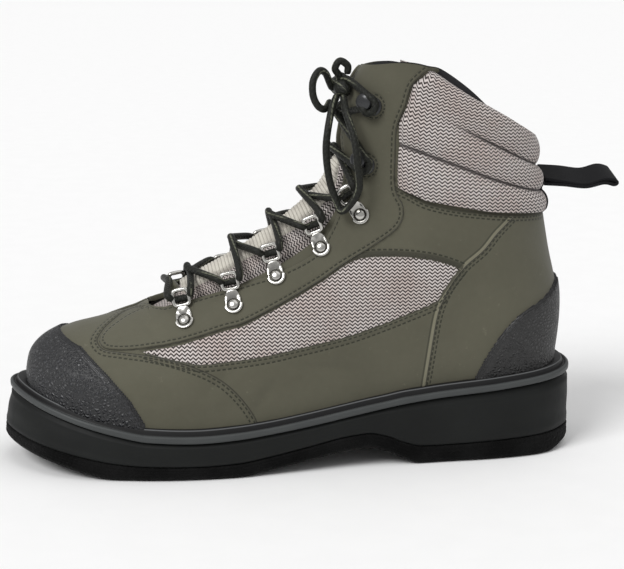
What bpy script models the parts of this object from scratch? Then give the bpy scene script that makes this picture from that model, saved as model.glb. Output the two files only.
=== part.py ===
"""A lace-up wading boot for the left foot, with a felt sole.

The toe points to -X, the outer side of the foot to -Y, and the ground is z = 0. The origin lies on the
ground under the middle of the heel. Lengths are metres; the tables hold shares of the named sizes.
"""
import math

import bmesh
import bpy
import numpy as np

# Driving sizes
LENGTH = 0.324  # sole, heel edge to toe edge
BALL_WIDTH = 0.110  # sole across the ball of the foot
SHAFT_HEIGHT = 0.222  # ground to the top of the shaft
HEEL_BACK = 0.034  # heel edge behind the origin

# Walls and fits
WALL = 0.0024  # leather of the upper
OVERLAY = 0.0015  # outer face of the panels laid on the upper
CAP_OUT = 0.0021  # outer face of toe cap and counter
FIT = 0.0003  # gap between neighbours that follow the same curve
COLLAR_ROOM = 0.0065  # how far the shaft's wall steps in under the padded collar
COLLAR_PUFF = 0.0035  # how far a roll of the collar stands out of the form
INNER_DIP = 0.020  # share of the height by which the top edge is lower on the inner side
TONGUE_PAD = 0.0045
RIDGE_THICK = 0.0022
WELT_REACH = 0.012  # from the welt's edge in under the upper
FLARE = 0.0035  # the sole's toe below the welt is this much longer
FELT_EDGE = 0.0018  # rounding of the felt's lower edge

ROUND = 20  # points round a section of the upper

# The upper's form, a row per section from the toe to the collar. A section runs from a back point on the
# sole's side to a front point on the ridge side.
# front x, front z, back x, back z, outer y, inner y, ridge y, belly, crown, base, bow
FORM = np.array([
    (0.957, 0.228, 0.957, 0.219, 0.064, 0.082, 0.073, 0.45, 2.00, 2.50, 0.000),
    (0.951, 0.268, 0.954, 0.165, -0.036, 0.182, 0.073, 0.45, 2.00, 2.60, 0.000),
    (0.938, 0.295, 0.942, 0.139, -0.114, 0.250, 0.073, 0.42, 2.00, 2.80, 0.000),
    (0.917, 0.317, 0.922, 0.122, -0.191, 0.309, 0.073, 0.40, 2.00, 3.00, 0.000),
    (0.880, 0.340, 0.886, 0.104, -0.286, 0.368, 0.068, 0.38, 1.95, 3.40, 0.000),
    (0.827, 0.358, 0.833, 0.081, -0.362, 0.423, 0.064, 0.36, 1.90, 4.00, 0.000),
    (0.762, 0.389, 0.762, 0.063, -0.409, 0.459, 0.045, 0.34, 1.80, 4.20, 0.000),
    (0.691, 0.446, 0.679, 0.054, -0.427, 0.464, 0.027, 0.32, 1.70, 4.50, 0.000),
    (0.614, 0.509, 0.583, 0.059, -0.418, 0.418, 0.009, 0.33, 1.62, 4.50, 0.000),
    (0.546, 0.574, 0.481, 0.077, -0.395, 0.350, 0.000, 0.35, 1.60, 4.20, 0.000),
    (0.488, 0.635, 0.377, 0.095, -0.364, 0.309, 0.000, 0.38, 1.65, 3.80, 0.000),
    (0.448, 0.694, 0.259, 0.113, -0.345, 0.309, 0.000, 0.40, 1.80, 3.40, 0.000),
    (0.426, 0.757, 0.130, 0.126, -0.341, 0.318, 0.000, 0.42, 1.95, 3.00, 0.000),
    (0.417, 0.820, 0.050, 0.162, -0.341, 0.327, 0.000, 0.43, 2.05, 2.60, 0.000),
    (0.410, 0.869, 0.031, 0.261, -0.345, 0.336, 0.000, 0.44, 2.10, 2.35, 0.000),
    (0.404, 0.914, 0.026, 0.396, -0.345, 0.336, 0.000, 0.45, 2.15, 2.25, 0.005),
    (0.395, 0.950, 0.044, 0.523, -0.341, 0.332, 0.000, 0.46, 2.20, 2.25, 0.018),
    (0.386, 0.973, 0.058, 0.631, -0.341, 0.332, 0.000, 0.47, 2.20, 2.30, 0.036),
    (0.380, 0.986, 0.069, 0.721, -0.345, 0.336, 0.000, 0.48, 2.20, 2.30, 0.052),
    (0.377, 0.991, 0.080, 0.811, -0.355, 0.345, 0.000, 0.48, 2.20, 2.30, 0.063),
])

# The sole's outline from the heel round the outer side to the toe and back: x, y
OUTLINE = np.array([
    (0.000, 0.000), (0.015, -0.177), (0.065, -0.305), (0.151, -0.359),
    (0.259, -0.373), (0.383, -0.395), (0.522, -0.445), (0.654, -0.482),
    (0.769, -0.459), (0.861, -0.382), (0.932, -0.245), (0.978, -0.055),
    (0.991, 0.127), (0.966, 0.291), (0.901, 0.418), (0.809, 0.491),
    (0.710, 0.514), (0.599, 0.445), (0.475, 0.341), (0.352, 0.305),
    (0.228, 0.332), (0.136, 0.341), (0.062, 0.295), (0.015, 0.173),
])

# Heights of the sole along the foot: x, bottom, felt top, midsole top, welt edge
SOLE = np.array([
    (-0.006, 0.020, 0.061, 0.202, 0.222),
    (0.028, 0.009, 0.058, 0.197, 0.217),
    (0.056, 0.000, 0.055, 0.194, 0.213),
    (0.151, 0.000, 0.049, 0.181, 0.200),
    (0.259, 0.000, 0.045, 0.168, 0.187),
    (0.290, 0.000, 0.046, 0.163, 0.182),
    (0.321, 0.016, 0.058, 0.157, 0.177),
    (0.352, 0.037, 0.077, 0.150, 0.169),
    (0.383, 0.048, 0.087, 0.142, 0.162),
    (0.420, 0.045, 0.083, 0.133, 0.153),
    (0.488, 0.029, 0.065, 0.117, 0.137),
    (0.556, 0.012, 0.047, 0.104, 0.123),
    (0.611, 0.000, 0.036, 0.096, 0.116),
    (0.679, 0.000, 0.033, 0.092, 0.112),
    (0.759, 0.000, 0.035, 0.097, 0.117),
    (0.815, 0.000, 0.041, 0.112, 0.132),
    (0.870, 0.014, 0.054, 0.131, 0.150),
    (0.932, 0.036, 0.071, 0.157, 0.176),
    (0.978, 0.050, 0.083, 0.178, 0.197),
    (1.006, 0.057, 0.090, 0.189, 0.208),
])

MATERIALS = {
    "nubuck": ((0.13, 0.125, 0.085, 1), 0.85, 0),
    "pebbled": ((0.035, 0.034, 0.035, 1), 0.55, 0),
    "rubber": ((0.015, 0.016, 0.015, 1), 0.7, 0),
    "felt": ((0.02, 0.02, 0.02, 1), 0.95, 0),
    "mesh": ((0.42, 0.38, 0.34, 1), 0.9, 0),
    "lining": ((0.03, 0.03, 0.03, 1), 0.95, 0),
    "webbing": ((0.012, 0.012, 0.014, 1), 0.85, 0),
    "nickel": ((0.7, 0.7, 0.68, 1), 0.3, 1),
    "hook_metal": ((0.03, 0.03, 0.035, 1), 0.35, 1),
    "lace": ((0.03, 0.035, 0.025, 1), 0.9, 0),
}


def material(name):
    """The material of that name, made on first use."""
    if name in bpy.data.materials:
        return bpy.data.materials[name]
    m = bpy.data.materials.new(name)
    m.use_nodes = True
    colour, rough, metal = MATERIALS[name]
    shader = m.node_tree.nodes["Principled BSDF"]
    shader.inputs["Base Color"].default_value = colour
    shader.inputs["Roughness"].default_value = rough
    shader.inputs["Metallic"].default_value = metal
    return m


def along(table, u):
    """Rows of a table at the fractional row numbers u, on a smooth curve through the rows."""
    u = np.clip(np.asarray(u, float), 0, len(table) - 1)
    i = np.minimum(u.astype(int), len(table) - 2)
    f = (u - i)[..., None]
    a, b = table[np.maximum(i - 1, 0)], table[i]
    c, d = table[i + 1], table[np.minimum(i + 2, len(table) - 1)]
    return 0.5 * (2 * b + (c - a) * f + (2 * a - 5 * b + 4 * c - d) * f**2 + (3 * b - a - 3 * c + d) * f**3)


def smooth(t):
    """0 below 0, 1 above 1 and a soft step between."""
    t = np.clip(t, 0, 1)
    return t * t * (3 - 2 * t)


def base(u, a):
    """Points of the form at section u and angle a, 0 on the ridge and pi at the sole or the back."""
    u, a = np.broadcast_arrays(np.asarray(u, float), np.asarray(a, float))
    r = along(FORM, u)
    c, s = np.cos(a), np.sin(a)
    belly, crown, foot = r[..., 7], r[..., 8], r[..., 9]
    up = c > 0
    power = 2 / np.where(up, crown, foot)
    share = belly + np.where(up, 1 - belly, -belly) * np.abs(c) ** power
    side = np.where(s > 0, r[..., 5], r[..., 4])
    y = r[..., 6] + (side - r[..., 6]) * np.abs(s) ** power
    x = r[..., 2] + (r[..., 0] - r[..., 2]) * share
    z = r[..., 3] + (r[..., 1] - r[..., 3]) * share
    z = z + r[..., 10] * np.sin(np.pi * np.clip(share, 0, 1) ** 1.6)
    z = z - INNER_DIP * smooth((u - 16.5) / 2.5) * np.maximum(s, 0) ** 0.5 * np.clip(0.55 + c, 0, 1)
    return np.stack([HEEL_BACK - x * LENGTH, y * BALL_WIDTH, z * SHAFT_HEIGHT], -1)


def normals(u, a):
    """Outward directions of the form."""
    e = 1e-3
    du = base(np.asarray(u) + e, a) - base(np.asarray(u) - e, a)
    da = base(u, np.asarray(a) + e) - base(u, np.asarray(a) - e)
    n = np.cross(du, da)
    n /= np.maximum(np.linalg.norm(n, axis=-1, keepdims=True), 1e-12)
    return n


def form(u, a, out=0.0):
    """Points of the form, moved outwards."""
    return base(u, a) + normals(u, a) * np.asarray(out)[..., None]


def collar_front(z):
    """x of the collar's front edge at a height."""
    x = np.interp(z / SHAFT_HEIGHT, (0.70, 0.86, 0.90, 0.955, 0.985), (0.333, 0.331, 0.319, 0.309, 0.287))
    return HEEL_BACK - LENGTH * x


def collar_foot(x):
    """z of the collar's lower edge at x."""
    s = (HEEL_BACK - x) / LENGTH
    return SHAFT_HEIGHT * np.interp(s, (0.05, 0.178, 0.282, 0.333), (0.618, 0.636, 0.663, 0.697))


def collar_top(x):
    """z of the collar's upper edge at x."""
    s = (HEEL_BACK - x) / LENGTH
    heights = (0.80, 0.835, 0.905, 0.945, 0.99, 1.0)
    return SHAFT_HEIGHT * np.interp(s, (0.07, 0.108, 0.18, 0.226, 0.287, 0.36), heights)


def recess(p):
    """How far the shaft's wall stands in under the collar, at points of the form."""
    x, z = p[..., 0], p[..., 2]
    ahead = smooth((x - collar_front(z)) / 0.008 + 0.1)
    return COLLAR_ROOM * ahead * smooth((z - collar_foot(x)) / 0.008 + 0.1)


def rolls(p):
    """How far the collar's three rolls stand out of the form."""
    x, z = p[..., 0], p[..., 2]
    foot = collar_foot(x)
    t = np.clip((z - foot) / (collar_top(x) - foot), 0, 1)
    wave = np.abs(np.sin(np.pi * np.interp(t, (0, 0.30, 0.62, 1), (0.08, 1, 2, 2.85)))) ** 0.6
    front = smooth((x - collar_front(z)) / 0.016)
    return (COLLAR_PUFF + 0.001) * wave * front - 0.001


def mesh_object(name, points, faces, slot):
    """A named closed mesh with its own material, faces outward."""
    me = bpy.data.meshes.new(name)
    me.from_pydata([tuple(p) for p in points], [], [tuple(f) for f in faces])
    bm = bmesh.new()
    bm.from_mesh(me)
    bmesh.ops.remove_doubles(bm, verts=bm.verts, dist=1e-6)
    bmesh.ops.dissolve_degenerate(bm, edges=bm.edges, dist=1e-7)
    bmesh.ops.recalc_face_normals(bm, faces=bm.faces)
    bm.to_mesh(me)
    bm.free()
    o = bpy.data.objects.new(name, me)
    bpy.context.scene.collection.objects.link(o)
    if slot:
        me.materials.append(material(slot))
    return o


def loops(rows, first=None, last=None):
    """Faces between closed loops of equal length; each end is closed across, or to a point."""
    n = rows.shape[1]
    points = list(rows.reshape(-1, 3))
    faces = []
    for i in range(len(rows) - 1):
        for j in range(n):
            k = (j + 1) % n
            far = (i + 1) * n
            faces += [(i * n + j, i * n + k, far + k), (i * n + j, far + k, far + j)]
    for start, tip in ((0, first), ((len(rows) - 1) * n, last)):
        if tip is not None:
            points.append(tip)
            faces += [(start + j, start + (j + 1) % n, len(points) - 1) for j in range(n)]
        else:
            faces.append((start, start + 1, start + n - 1))
            for j in range(1, n // 2 - 1):
                faces.append((start + j, start + j + 1, start + n - j - 1, start + n - j))
            faces.append((start + n // 2 - 1, start + n // 2, start + n // 2 + 1))
    return points, faces


def cut(o, others, operation="DIFFERENCE"):
    """Cuts an object with others and removes them."""
    for other in others:
        m = o.modifiers.new("cut", "BOOLEAN")
        m.operation, m.solver, m.object = operation, "EXACT", other
        bpy.context.view_layer.update()
        made = bpy.data.meshes.new_from_object(o.evaluated_get(bpy.context.evaluated_depsgraph_get()))
        o.modifiers.clear()
        o.data = made
        bpy.data.objects.remove(other)
    bm = bmesh.new()
    bm.from_mesh(o.data)
    bmesh.ops.remove_doubles(bm, verts=bm.verts, dist=1e-5)
    bmesh.ops.dissolve_degenerate(bm, edges=bm.edges, dist=1e-6)
    bmesh.ops.triangulate(bm, faces=bm.faces)
    bm.to_mesh(o.data)
    bm.free()
    return o


def largest(o):
    """Leaves the largest connected piece of an object."""
    bm = bmesh.new()
    bm.from_mesh(o.data)
    left, groups = set(bm.verts), []
    while left:
        todo, group = [left.pop()], []
        while todo:
            v = todo.pop()
            group.append(v)
            for e in v.link_edges:
                w = e.other_vert(v)
                if w in left:
                    left.remove(w)
                    todo.append(w)
        groups.append(group)
    groups.sort(key=len)
    for g in groups[:-1]:
        bmesh.ops.delete(bm, geom=g, context="VERTS")
    bm.to_mesh(o.data)
    bm.free()
    return o


SECTIONS = np.concatenate([np.linspace(0.35, 5.9, 8), np.linspace(6.6, 19, 18)])
ANGLES = np.linspace(0, 2 * np.pi, ROUND, endpoint=False)


def hull(name, out, us=SECTIONS, rise=0.0, slot=None):
    """A closed solid of the whole form; out is a distance or a function of points on the form."""
    u, a = np.meshgrid(us, ANGLES, indexing="ij")
    p = base(u, a)
    d = out(p) if callable(out) else np.full(u.shape, float(out))
    rows = form(u, a, d)
    tip = None
    if us[0] < 1:
        tip = base(0.0, 0.0) - np.array([float(np.mean(d[0])), 0, 0])
    if rise:
        rows = np.concatenate([rows, rows[-1:] + np.array([0, 0, rise])])
    points, faces = loops(rows, first=tip)
    return mesh_object(name, points, faces, slot)


def wall_out(p):
    return -recess(p)


def prism(name, outline, y0, y1):
    """A solid between two planes of constant y, its outline given in x and z."""
    n = len(outline)
    points = [(x, y0, z) for x, z in outline] + [(x, y1, z) for x, z in outline]
    faces = [tuple(range(n)), tuple(range(n, 2 * n))]
    faces += [(i, (i + 1) % n, n + (i + 1) % n, n + i) for i in range(n)]
    return mesh_object(name, points, faces, None)


def share_points(pairs):
    """x and z in metres from shares of length and height."""
    return [(HEEL_BACK - x * LENGTH, z * SHAFT_HEIGHT) for x, z in pairs]


def sole_height(x, column):
    """Height of one of the sole's lines at x, on a smooth curve without overshoot."""
    s = np.clip((HEEL_BACK - np.asarray(x, float)) / LENGTH, SOLE[0, 0], SOLE[-1, 0])
    xs, zs = SOLE[:, 0], SOLE[:, column] * SHAFT_HEIGHT
    steps, slopes = np.diff(xs), np.diff(zs) / np.diff(xs)
    same = slopes[1:] * slopes[:-1] > 0
    mean = 2 * slopes[1:] * slopes[:-1] / np.where(same, slopes[1:] + slopes[:-1], 1)
    m = np.concatenate([slopes[:1], np.where(same, mean, 0), slopes[-1:]])
    i = np.clip(np.searchsorted(xs, s, "right") - 1, 0, len(xs) - 2)
    h, f = steps[i], (s - xs[i]) / steps[i]
    return (zs[i] * (1 + 2 * f) * (1 - f) ** 2 + m[i] * h * f * (1 - f) ** 2
            + zs[i + 1] * f * f * (3 - 2 * f) + m[i + 1] * h * f * f * (f - 1))


def outline_curve(inset=0.0, out=0.0):
    """The sole's plan edge as a fine closed curve, moved inwards and, at the toe, outwards."""
    n = 480
    t = np.arange(n) / n * len(OUTLINE)
    ring = np.concatenate([OUTLINE[-1:], OUTLINE, OUTLINE[:2]])
    i = t.astype(int) + 1
    f = (t + 1 - i)[:, None]
    a, b, c, d = ring[i - 1], ring[i], ring[i + 1], ring[i + 2]
    q = 0.5 * (2 * b + (c - a) * f + (2 * a - 5 * b + 4 * c - d) * f**2 + (3 * b - a - 3 * c + d) * f**3)
    q = np.stack([HEEL_BACK - q[:, 0] * LENGTH, q[:, 1] * BALL_WIDTH], 1)
    ahead = np.roll(q, -1, 0) - np.roll(q, 1, 0)
    ahead /= np.linalg.norm(ahead, axis=1, keepdims=True)
    inward = np.stack([ahead[:, 1], -ahead[:, 0]], 1)
    return q + inward * (inset - out * flare(q[:, :1]))


def outline(half, inset=0.0, out=0.0):
    """Points of the plan edge in pairs that share an x: the outer side heel to toe, and back inside."""
    q = outline_curve(inset, out)
    heel, toe = int(np.argmax(q[:, 0])), int(np.argmin(q[:, 0]))
    q = np.roll(q, -heel, 0)
    toe = (toe - heel) % len(q)
    outer, inner = q[: toe + 1], np.concatenate([q[toe:], q[:1]])[::-1]
    k = np.arange(half + 1) / half
    x = q[toe, 0] + (q[0, 0] - q[toe, 0]) * (0.5 + 0.5 * np.cos(np.pi * (k + 0.06 * np.sin(2 * np.pi * k))))
    left = np.interp(-x, -outer[:, 0], outer[:, 1])
    right = np.interp(-x, -inner[:, 0], inner[:, 1])
    return np.concatenate([np.stack([x, left], 1), np.stack([x, right], 1)[-2:0:-1]])


def flare(x):
    """How far the sole's toe stands out below the welt."""
    return FLARE * smooth(((HEEL_BACK - x) / LENGTH - 0.78) / 0.18)


def layer(name, rings, slot, half=27):
    """A layer of the sole from rings of (inset, share of the flare, column, lift)."""
    rows = []
    for inset, out, column, lift in rings:
        q = outline(half, inset, out)
        z = sole_height(q[:, 0], column) + lift
        rows.append(np.column_stack([q, z]))
    points, faces = loops(np.array(rows))
    return mesh_object(name, points, faces, slot)


def floor_cutter(name, column, lift):
    """Everything below one of the sole's lines."""
    xs = HEEL_BACK - np.linspace(SOLE[0, 0], SOLE[-1, 0], 56) * LENGTH
    line = list(zip(xs, sole_height(xs, column) + lift))
    line = [(xs[0] + 0.05, line[0][1])] + line + [(xs[-1] - 0.05, line[-1][1])]
    return prism(name, line + [(line[-1][0], -0.05), (line[0][0], -0.05)], -0.1, 0.1)


def strip(name, us, half, top, under, slot, columns=9, skew=0.0):
    """A closed strip that follows the ridge of the form between two distances from it."""
    us = np.asarray(us)
    rows = []
    for k, u in enumerate(us):
        w = half(u) if callable(half) else half
        angles = np.array([angle_at(u, y + skew) for y in np.linspace(-w, w, columns)])
        uu = np.full(columns, u)
        t = np.linspace(-1, 1, columns)
        hi = form(uu, angles, top(t, u))
        lo = form(uu, angles, under(t, u))
        rows.append(np.concatenate([hi, lo[::-1]]))
    n = columns * 2
    rows = np.array(rows)
    points, faces = list(rows.reshape(-1, 3)), []
    for i in range(len(rows) - 1):
        for j in range(n):
            k = (j + 1) % n
            faces.append((i * n + j, i * n + k, (i + 1) * n + k, (i + 1) * n + j))
    for start in (0, (len(rows) - 1) * n):
        for j in range(columns - 1):
            faces.append((start + j, start + j + 1, start + n - 2 - j, start + n - 1 - j))
    return mesh_object(name, points, faces, slot)


def angle_at(u, dy):
    """The angle on section u whose point lies dy beside the ridge."""
    lo, hi = 0.0, math.pi / 2
    sign = 1 if dy > 0 else -1
    ridge = float(base(u, 0.0)[1])
    for _ in range(30):
        mid = (lo + hi) / 2
        if abs(float(base(u, sign * mid)[1]) - ridge) < abs(dy):
            lo = mid
        else:
            hi = mid
    return sign * lo


def throat(name, grow=0.0):
    """The cutter that opens the throat from the vamp to the top of the shaft."""
    rows = []
    for u, w in THROAT:
        tip, foot = base(u, 0.0), base(u, math.pi)
        back = (foot - tip) / np.linalg.norm(foot - tip)
        hi, lo = tip - back * 0.012, tip + back * 0.030
        half = np.array([0, w * BALL_WIDTH + grow, 0])
        rows.append([hi - half, hi + half, lo + half, lo - half])
    rows = np.array(rows)
    rows[-1] += np.array([0, 0, 0.02])
    points, faces = list(rows.reshape(-1, 3)), []
    for i in range(len(rows) - 1):
        for j in range(4):
            k = (j + 1) % 4
            faces.append((i * 4 + j, i * 4 + k, (i + 1) * 4 + k, (i + 1) * 4 + j))
    faces += [(0, 1, 2, 3), tuple(len(points) - 4 + j for j in range(4))]
    return mesh_object(name, points, faces, None)


# Half width of the throat along the foot: section, share of the ball width
THROAT = ((6.2, 0.06), (6.32, 0.11), (6.55, 0.15), (7, 0.18), (8, 0.20), (9, 0.20), (10, 0.19), (11, 0.165),
          (12, 0.12), (13, 0.065), (15, 0.040), (17, 0.035), (19, 0.040))


def build_sole():
    layer("outsole_felt", [(FELT_EDGE * 1.6, 1, 1, 0), (0, 1, 1, FELT_EDGE), (0, 0.9, 2, 0)], "felt")
    layer("midsole", [(0, 0.9, 2, FIT), (0, 0, 3, 0)], "rubber")
    w = layer("welt", [(0.0006, 0, 3, FIT), (0, 0, 3, 0.001), (0, 0, 4, 0), (0.002, 0, 4, 0.0008),
                       (WELT_REACH, 0, 4, 0.0036)], "rubber")
    cut(w, [hull("inside", FIT)])
    largest(w)


def build_upper():
    o = hull("upper", wall_out, slot="nubuck")
    inner = hull("inside", lambda p: -recess(p) - WALL, rise=0.02)
    cut(o, [inner, floor_cutter("floor", 3, FIT), throat("slot")])
    largest(o)


def build_insole():
    o = hull("insole", -WALL - FIT, SECTIONS[:21], slot="lining")
    cut(o, [floor_cutter("floor", 3, FIT)])
    top = floor_cutter("ceiling", 3, FIT + 0.004)
    cut(o, [top], "INTERSECT")
    largest(o)


def throat_half(u):
    """Half width of the throat at section u."""
    rows = np.array(THROAT)
    return np.interp(u, rows[:, 0], rows[:, 1] * BALL_WIDTH, left=0)


def tongue_half(u):
    """Half width of the tongue at section u."""
    return BALL_WIDTH * np.interp(u, (5.8, 7.5, 10, 12, 19), (0.17, 0.28, 0.27, 0.21, 0.19))


def tongue_out(t, u):
    """Outer face of the tongue: under the leather at its sides, up in the throat in its middle."""
    aside = np.abs(t) * tongue_half(u)
    edge = throat_half(u)
    low = WALL + FIT + 0.0013
    rise = (1 - smooth((aside - edge + 0.0050) / 0.0042)) * smooth((np.asarray(u) - 6.5) / 0.4)
    rise = rise * (1 - smooth((np.asarray(u) - 11.7) / 1.0))
    return -low + (low - 0.0012) * rise


def build_tongue():
    us = np.concatenate([np.linspace(5.8, 11, 10), np.linspace(11.8, 18.6, 8)])

    def under(t, u):
        thick = TONGUE_PAD * (0.55 + 0.45 * smooth((u - 6.5) / 3)) * (1 - 0.45 * np.abs(t) ** 3)
        return tongue_out(t, u) - thick

    strip("tongue", us, tongue_half, tongue_out, under, "mesh", 11)


def build_collar():
    xs = HEEL_BACK - LENGTH * np.array((-0.1, 0.05, 0.115, 0.178, 0.23, 0.282, 0.318))
    foot = [(x, float(collar_foot(x)) + 0.002) for x in xs]
    zs = SHAFT_HEIGHT * np.array((0.71, 0.76, 0.81, 0.86, 0.90, 0.955, 0.985))
    front = [(float(collar_front(z)) + 0.0016, z) for z in zs]
    end = front[-1]
    room = prism("room", foot + front + [(end[0] + 0.002, end[1] + 0.04), (xs[0], end[1] + 0.04)], -0.1, 0.1)
    us = np.concatenate([np.arange(12, 15.5, 1.1), np.linspace(15.5, 19, 12)])
    o = hull("collar", rolls, us, slot="mesh")
    cut(o, [room], "INTERSECT")
    cut(o, [hull("inside", lambda p: wall_out(p) + 2 * FIT, rise=0.02)])
    largest(o)


# Rear edge of the toe cap, front edge of the counter and outer edge of the eyestay, seen from the side
TOE_CAP = ((0.912, 0.45), (0.906, 0.331), (0.885, 0.318), (0.865, 0.308), (0.824, 0.255), (0.788, 0.199),
           (0.766, 0.144), (0.755, 0.06), (1.1, 0.06), (1.1, 0.45))
COUNTER = ((-0.1, 0.47), (0.010, 0.455), (0.040, 0.438), (0.069, 0.406), (0.111, 0.375), (0.138, 0.341),
           (0.164, 0.288), (0.190, 0.214), (0.197, 0.15), (-0.1, 0.15))
EYESTAY = ((0.775, 0.60), (0.775, 0.40), (0.783, 0.372), (0.827, 0.339), (0.835, 0.319), (0.819, 0.310),
           (0.771, 0.312), (0.694, 0.334), (0.628, 0.362), (0.591, 0.377), (0.522, 0.426), (0.462, 0.474),
           (0.426, 0.509), (0.376, 0.553), (0.325, 0.611), (0.318, 0.657), (0.334, 0.699), (0.334, 0.787),
           (0.332, 0.860), (0.320, 0.900), (0.310, 0.955), (0.288, 0.985), (0.27, 1.08), (0.60, 1.08))


def build_panels():
    toe = hull("toe_cap", CAP_OUT, SECTIONS[:12], slot="pebbled")
    cut(toe, [prism("edge", share_points(TOE_CAP), -0.1, 0.1)], "INTERSECT")
    cut(toe, [hull("inside", FIT), floor_cutter("floor", 4, 0.0038)])
    largest(toe)
    heel = hull("heel_counter", CAP_OUT, SECTIONS[10:-1], slot="pebbled")
    cut(heel, [prism("edge", share_points(COUNTER), -0.1, 0.1)], "INTERSECT")
    cut(heel, [hull("inside", FIT), floor_cutter("floor", 4, 0.0038)])
    largest(heel)
    stay = hull("eyestay", OVERLAY, slot="nubuck")
    cut(stay, [prism("edge", share_points(EYESTAY), -0.1, 0.1)], "INTERSECT")
    cut(stay, [hull("inside", lambda p: wall_out(p) + FIT, rise=0.02), throat("slot")])
    largest(stay)


def ridge_half(u):
    """Half width of the webbing along the tongue."""
    return np.minimum(0.011, throat_half(u) - 0.0058)


def build_ridge():
    strip("tongue_ridge", np.append(np.linspace(7.05, 11, 8), 11.8), ridge_half,
          lambda t, u: tongue_out(t * ridge_half(u) / tongue_half(u), u) + FIT + RIDGE_THICK * (1 - 0.5 * t**4),
          lambda t, u: tongue_out(t * ridge_half(u) / tongue_half(u), u) + FIT + 0 * t, "mesh", 5)
    strip("tongue_tab", np.linspace(6.56, 6.92, 4), lambda u: 0.0075,
          lambda t, u: tongue_out(t * 0.3, u) + 4 * FIT + 0.0036 - 0.0015 * t**2,
          lambda t, u: tongue_out(t * 0.3, u) + 4 * FIT + 0 * t, "nubuck", 5)


# Rings on both sides of the throat: section and angle of the rivet
RINGS = ((6.97, 0.689), (7.99, 0.746), (8.99, 0.705), (10.19, 0.721), (11.61, 0.754))
HOOKS = ((13.03, 0.624), (15.55, 0.608))
PLATE_R = 0.0048
PLATE_THICK = 0.001
PLATE_LONG = 0.0085  # rivet to the fold that holds the ring
RING_WIRE = 0.0009
RING_SIZE = (0.0102, 0.0078)  # along the throat, across it
HOOK_BASE_R = 0.0052


def place(u, a, out):
    """A point on the form and three directions: along the throat, towards the ridge, and outwards."""
    p = form(u, a, out)
    n = normals(u, a)
    e = 0.02
    inward = base(u, a * (1 - e)) - base(u, a)
    inward -= n * np.dot(inward, n)
    inward /= np.linalg.norm(inward)
    return p, np.cross(inward, n), inward, n


def build_plate(name, u, a):
    p, s, t, n = place(u, a, OVERLAY + FIT)
    k = 12
    turn = np.arange(k) / k * 2 * math.pi
    reach = np.where(np.sin(turn) > 0, PLATE_R + (PLATE_LONG - PLATE_R) * np.sin(turn) ** 2, PLATE_R)
    x, y = reach * np.cos(turn) * np.where(np.sin(turn) > 0, 0.85, 1), reach * np.sin(turn)
    fold = PLATE_THICK + 0.0012 * smooth((y - 0.0055) / 0.002)

    def ring(r, h):
        flat = np.outer(np.cos(turn) * r, s) + np.outer(np.sin(turn) * r, t)
        return p + flat + np.outer(np.ones(k) * h, n)

    rows = [p + np.outer(x, s) + np.outer(y, t), p + np.outer(x, s) + np.outer(y, t) + np.outer(fold, n),
            ring(0.0030, PLATE_THICK), ring(0.0026, PLATE_THICK + 0.0007), ring(0.0014, PLATE_THICK + 0.0012)]
    points, faces = loops(np.array(rows), last=p + n * (PLATE_THICK + 0.0013))
    return mesh_object(name, points, faces, "nickel")


def tube(name, path, radius, slot, sides=6, closed=False):
    """A round tube along a path."""
    path = np.array(path, float)
    n = len(path)
    if closed:
        ahead = np.roll(path, -1, 0) - np.roll(path, 1, 0)
    else:
        ahead = np.gradient(path, axis=0)
    ahead /= np.linalg.norm(ahead, axis=1, keepdims=True)
    up = np.cross(ahead[0], [0.3, 0.5, 0.8])
    rows = []
    for i in range(n):
        up = up - ahead[i] * np.dot(up, ahead[i])
        up /= np.linalg.norm(up)
        side = np.cross(ahead[i], up)
        rows.append([path[i] + radius * (math.cos(w) * up + math.sin(w) * side)
                     for w in np.arange(sides) / sides * 2 * math.pi])
    rows = np.array(rows)
    if not closed:
        points, faces = loops(rows)
        return mesh_object(name, points, faces, slot)
    first, shift = rows[0], 0
    gaps = [np.linalg.norm(np.roll(first, -k, 0) - rows[-1]) for k in range(sides)]
    shift = int(np.argmin(gaps))
    points, faces = list(rows.reshape(-1, 3)), []
    for i in range(n):
        for j in range(sides):
            k = (j + 1) % sides
            if i < n - 1:
                faces.append((i * sides + j, i * sides + k, (i + 1) * sides + k, (i + 1) * sides + j))
            else:
                faces.append((i * sides + j, i * sides + k, (k + shift) % sides, (j + shift) % sides))
    return mesh_object(name, points, faces, slot)


def ring_frame(u, a):
    """Middle of a D ring with its directions: along the throat, across the ring, and square to it."""
    p, s, t, n = place(u, a, OVERLAY + FIT)
    lean = 0.45
    across = t * math.cos(lean) + n * math.sin(lean)
    middle = p + t * (PLATE_LONG + RING_WIRE + 0.0005) + n * 0.0016 + across * RING_SIZE[1] / 2
    return middle, s, across, np.cross(s, across)


def build_ring(name, u, a):
    middle, s, across, _ = ring_frame(u, a)
    path = []
    for w in np.arange(12) / 12 * 2 * math.pi:
        cx, cy = math.cos(w), math.sin(w)
        path.append(middle + s * RING_SIZE[0] / 2 * math.copysign(abs(cx) ** 0.6, cx)
                    + across * RING_SIZE[1] / 2 * math.copysign(abs(cy) ** 0.6, cy))
    return tube(name, path, RING_WIRE, "nickel", 4, closed=True)


def build_hook(name, u, a):
    p, s, t, n = place(u, a, OVERLAY + FIT)
    k = 10
    rows = []
    for r, h, lean in ((HOOK_BASE_R, 0, 0), (HOOK_BASE_R, 0.0009, 0), (0.0030, 0.0014, 0.001), (0.0022, 0.0030, 0.0028),
                       (0.0044, 0.0040, 0.0038), (0.0046, 0.0050, 0.0042), (0.0030, 0.0062, 0.0042)):
        rows.append([p + n * h + t * lean + r * (math.cos(w) * s + math.sin(w) * t)
                     for w in np.arange(k) / k * 2 * math.pi])
    points, faces = loops(np.array(rows), last=p + n * 0.0065 + t * 0.0042)
    return mesh_object(name, points, faces, "hook_metal")


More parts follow.
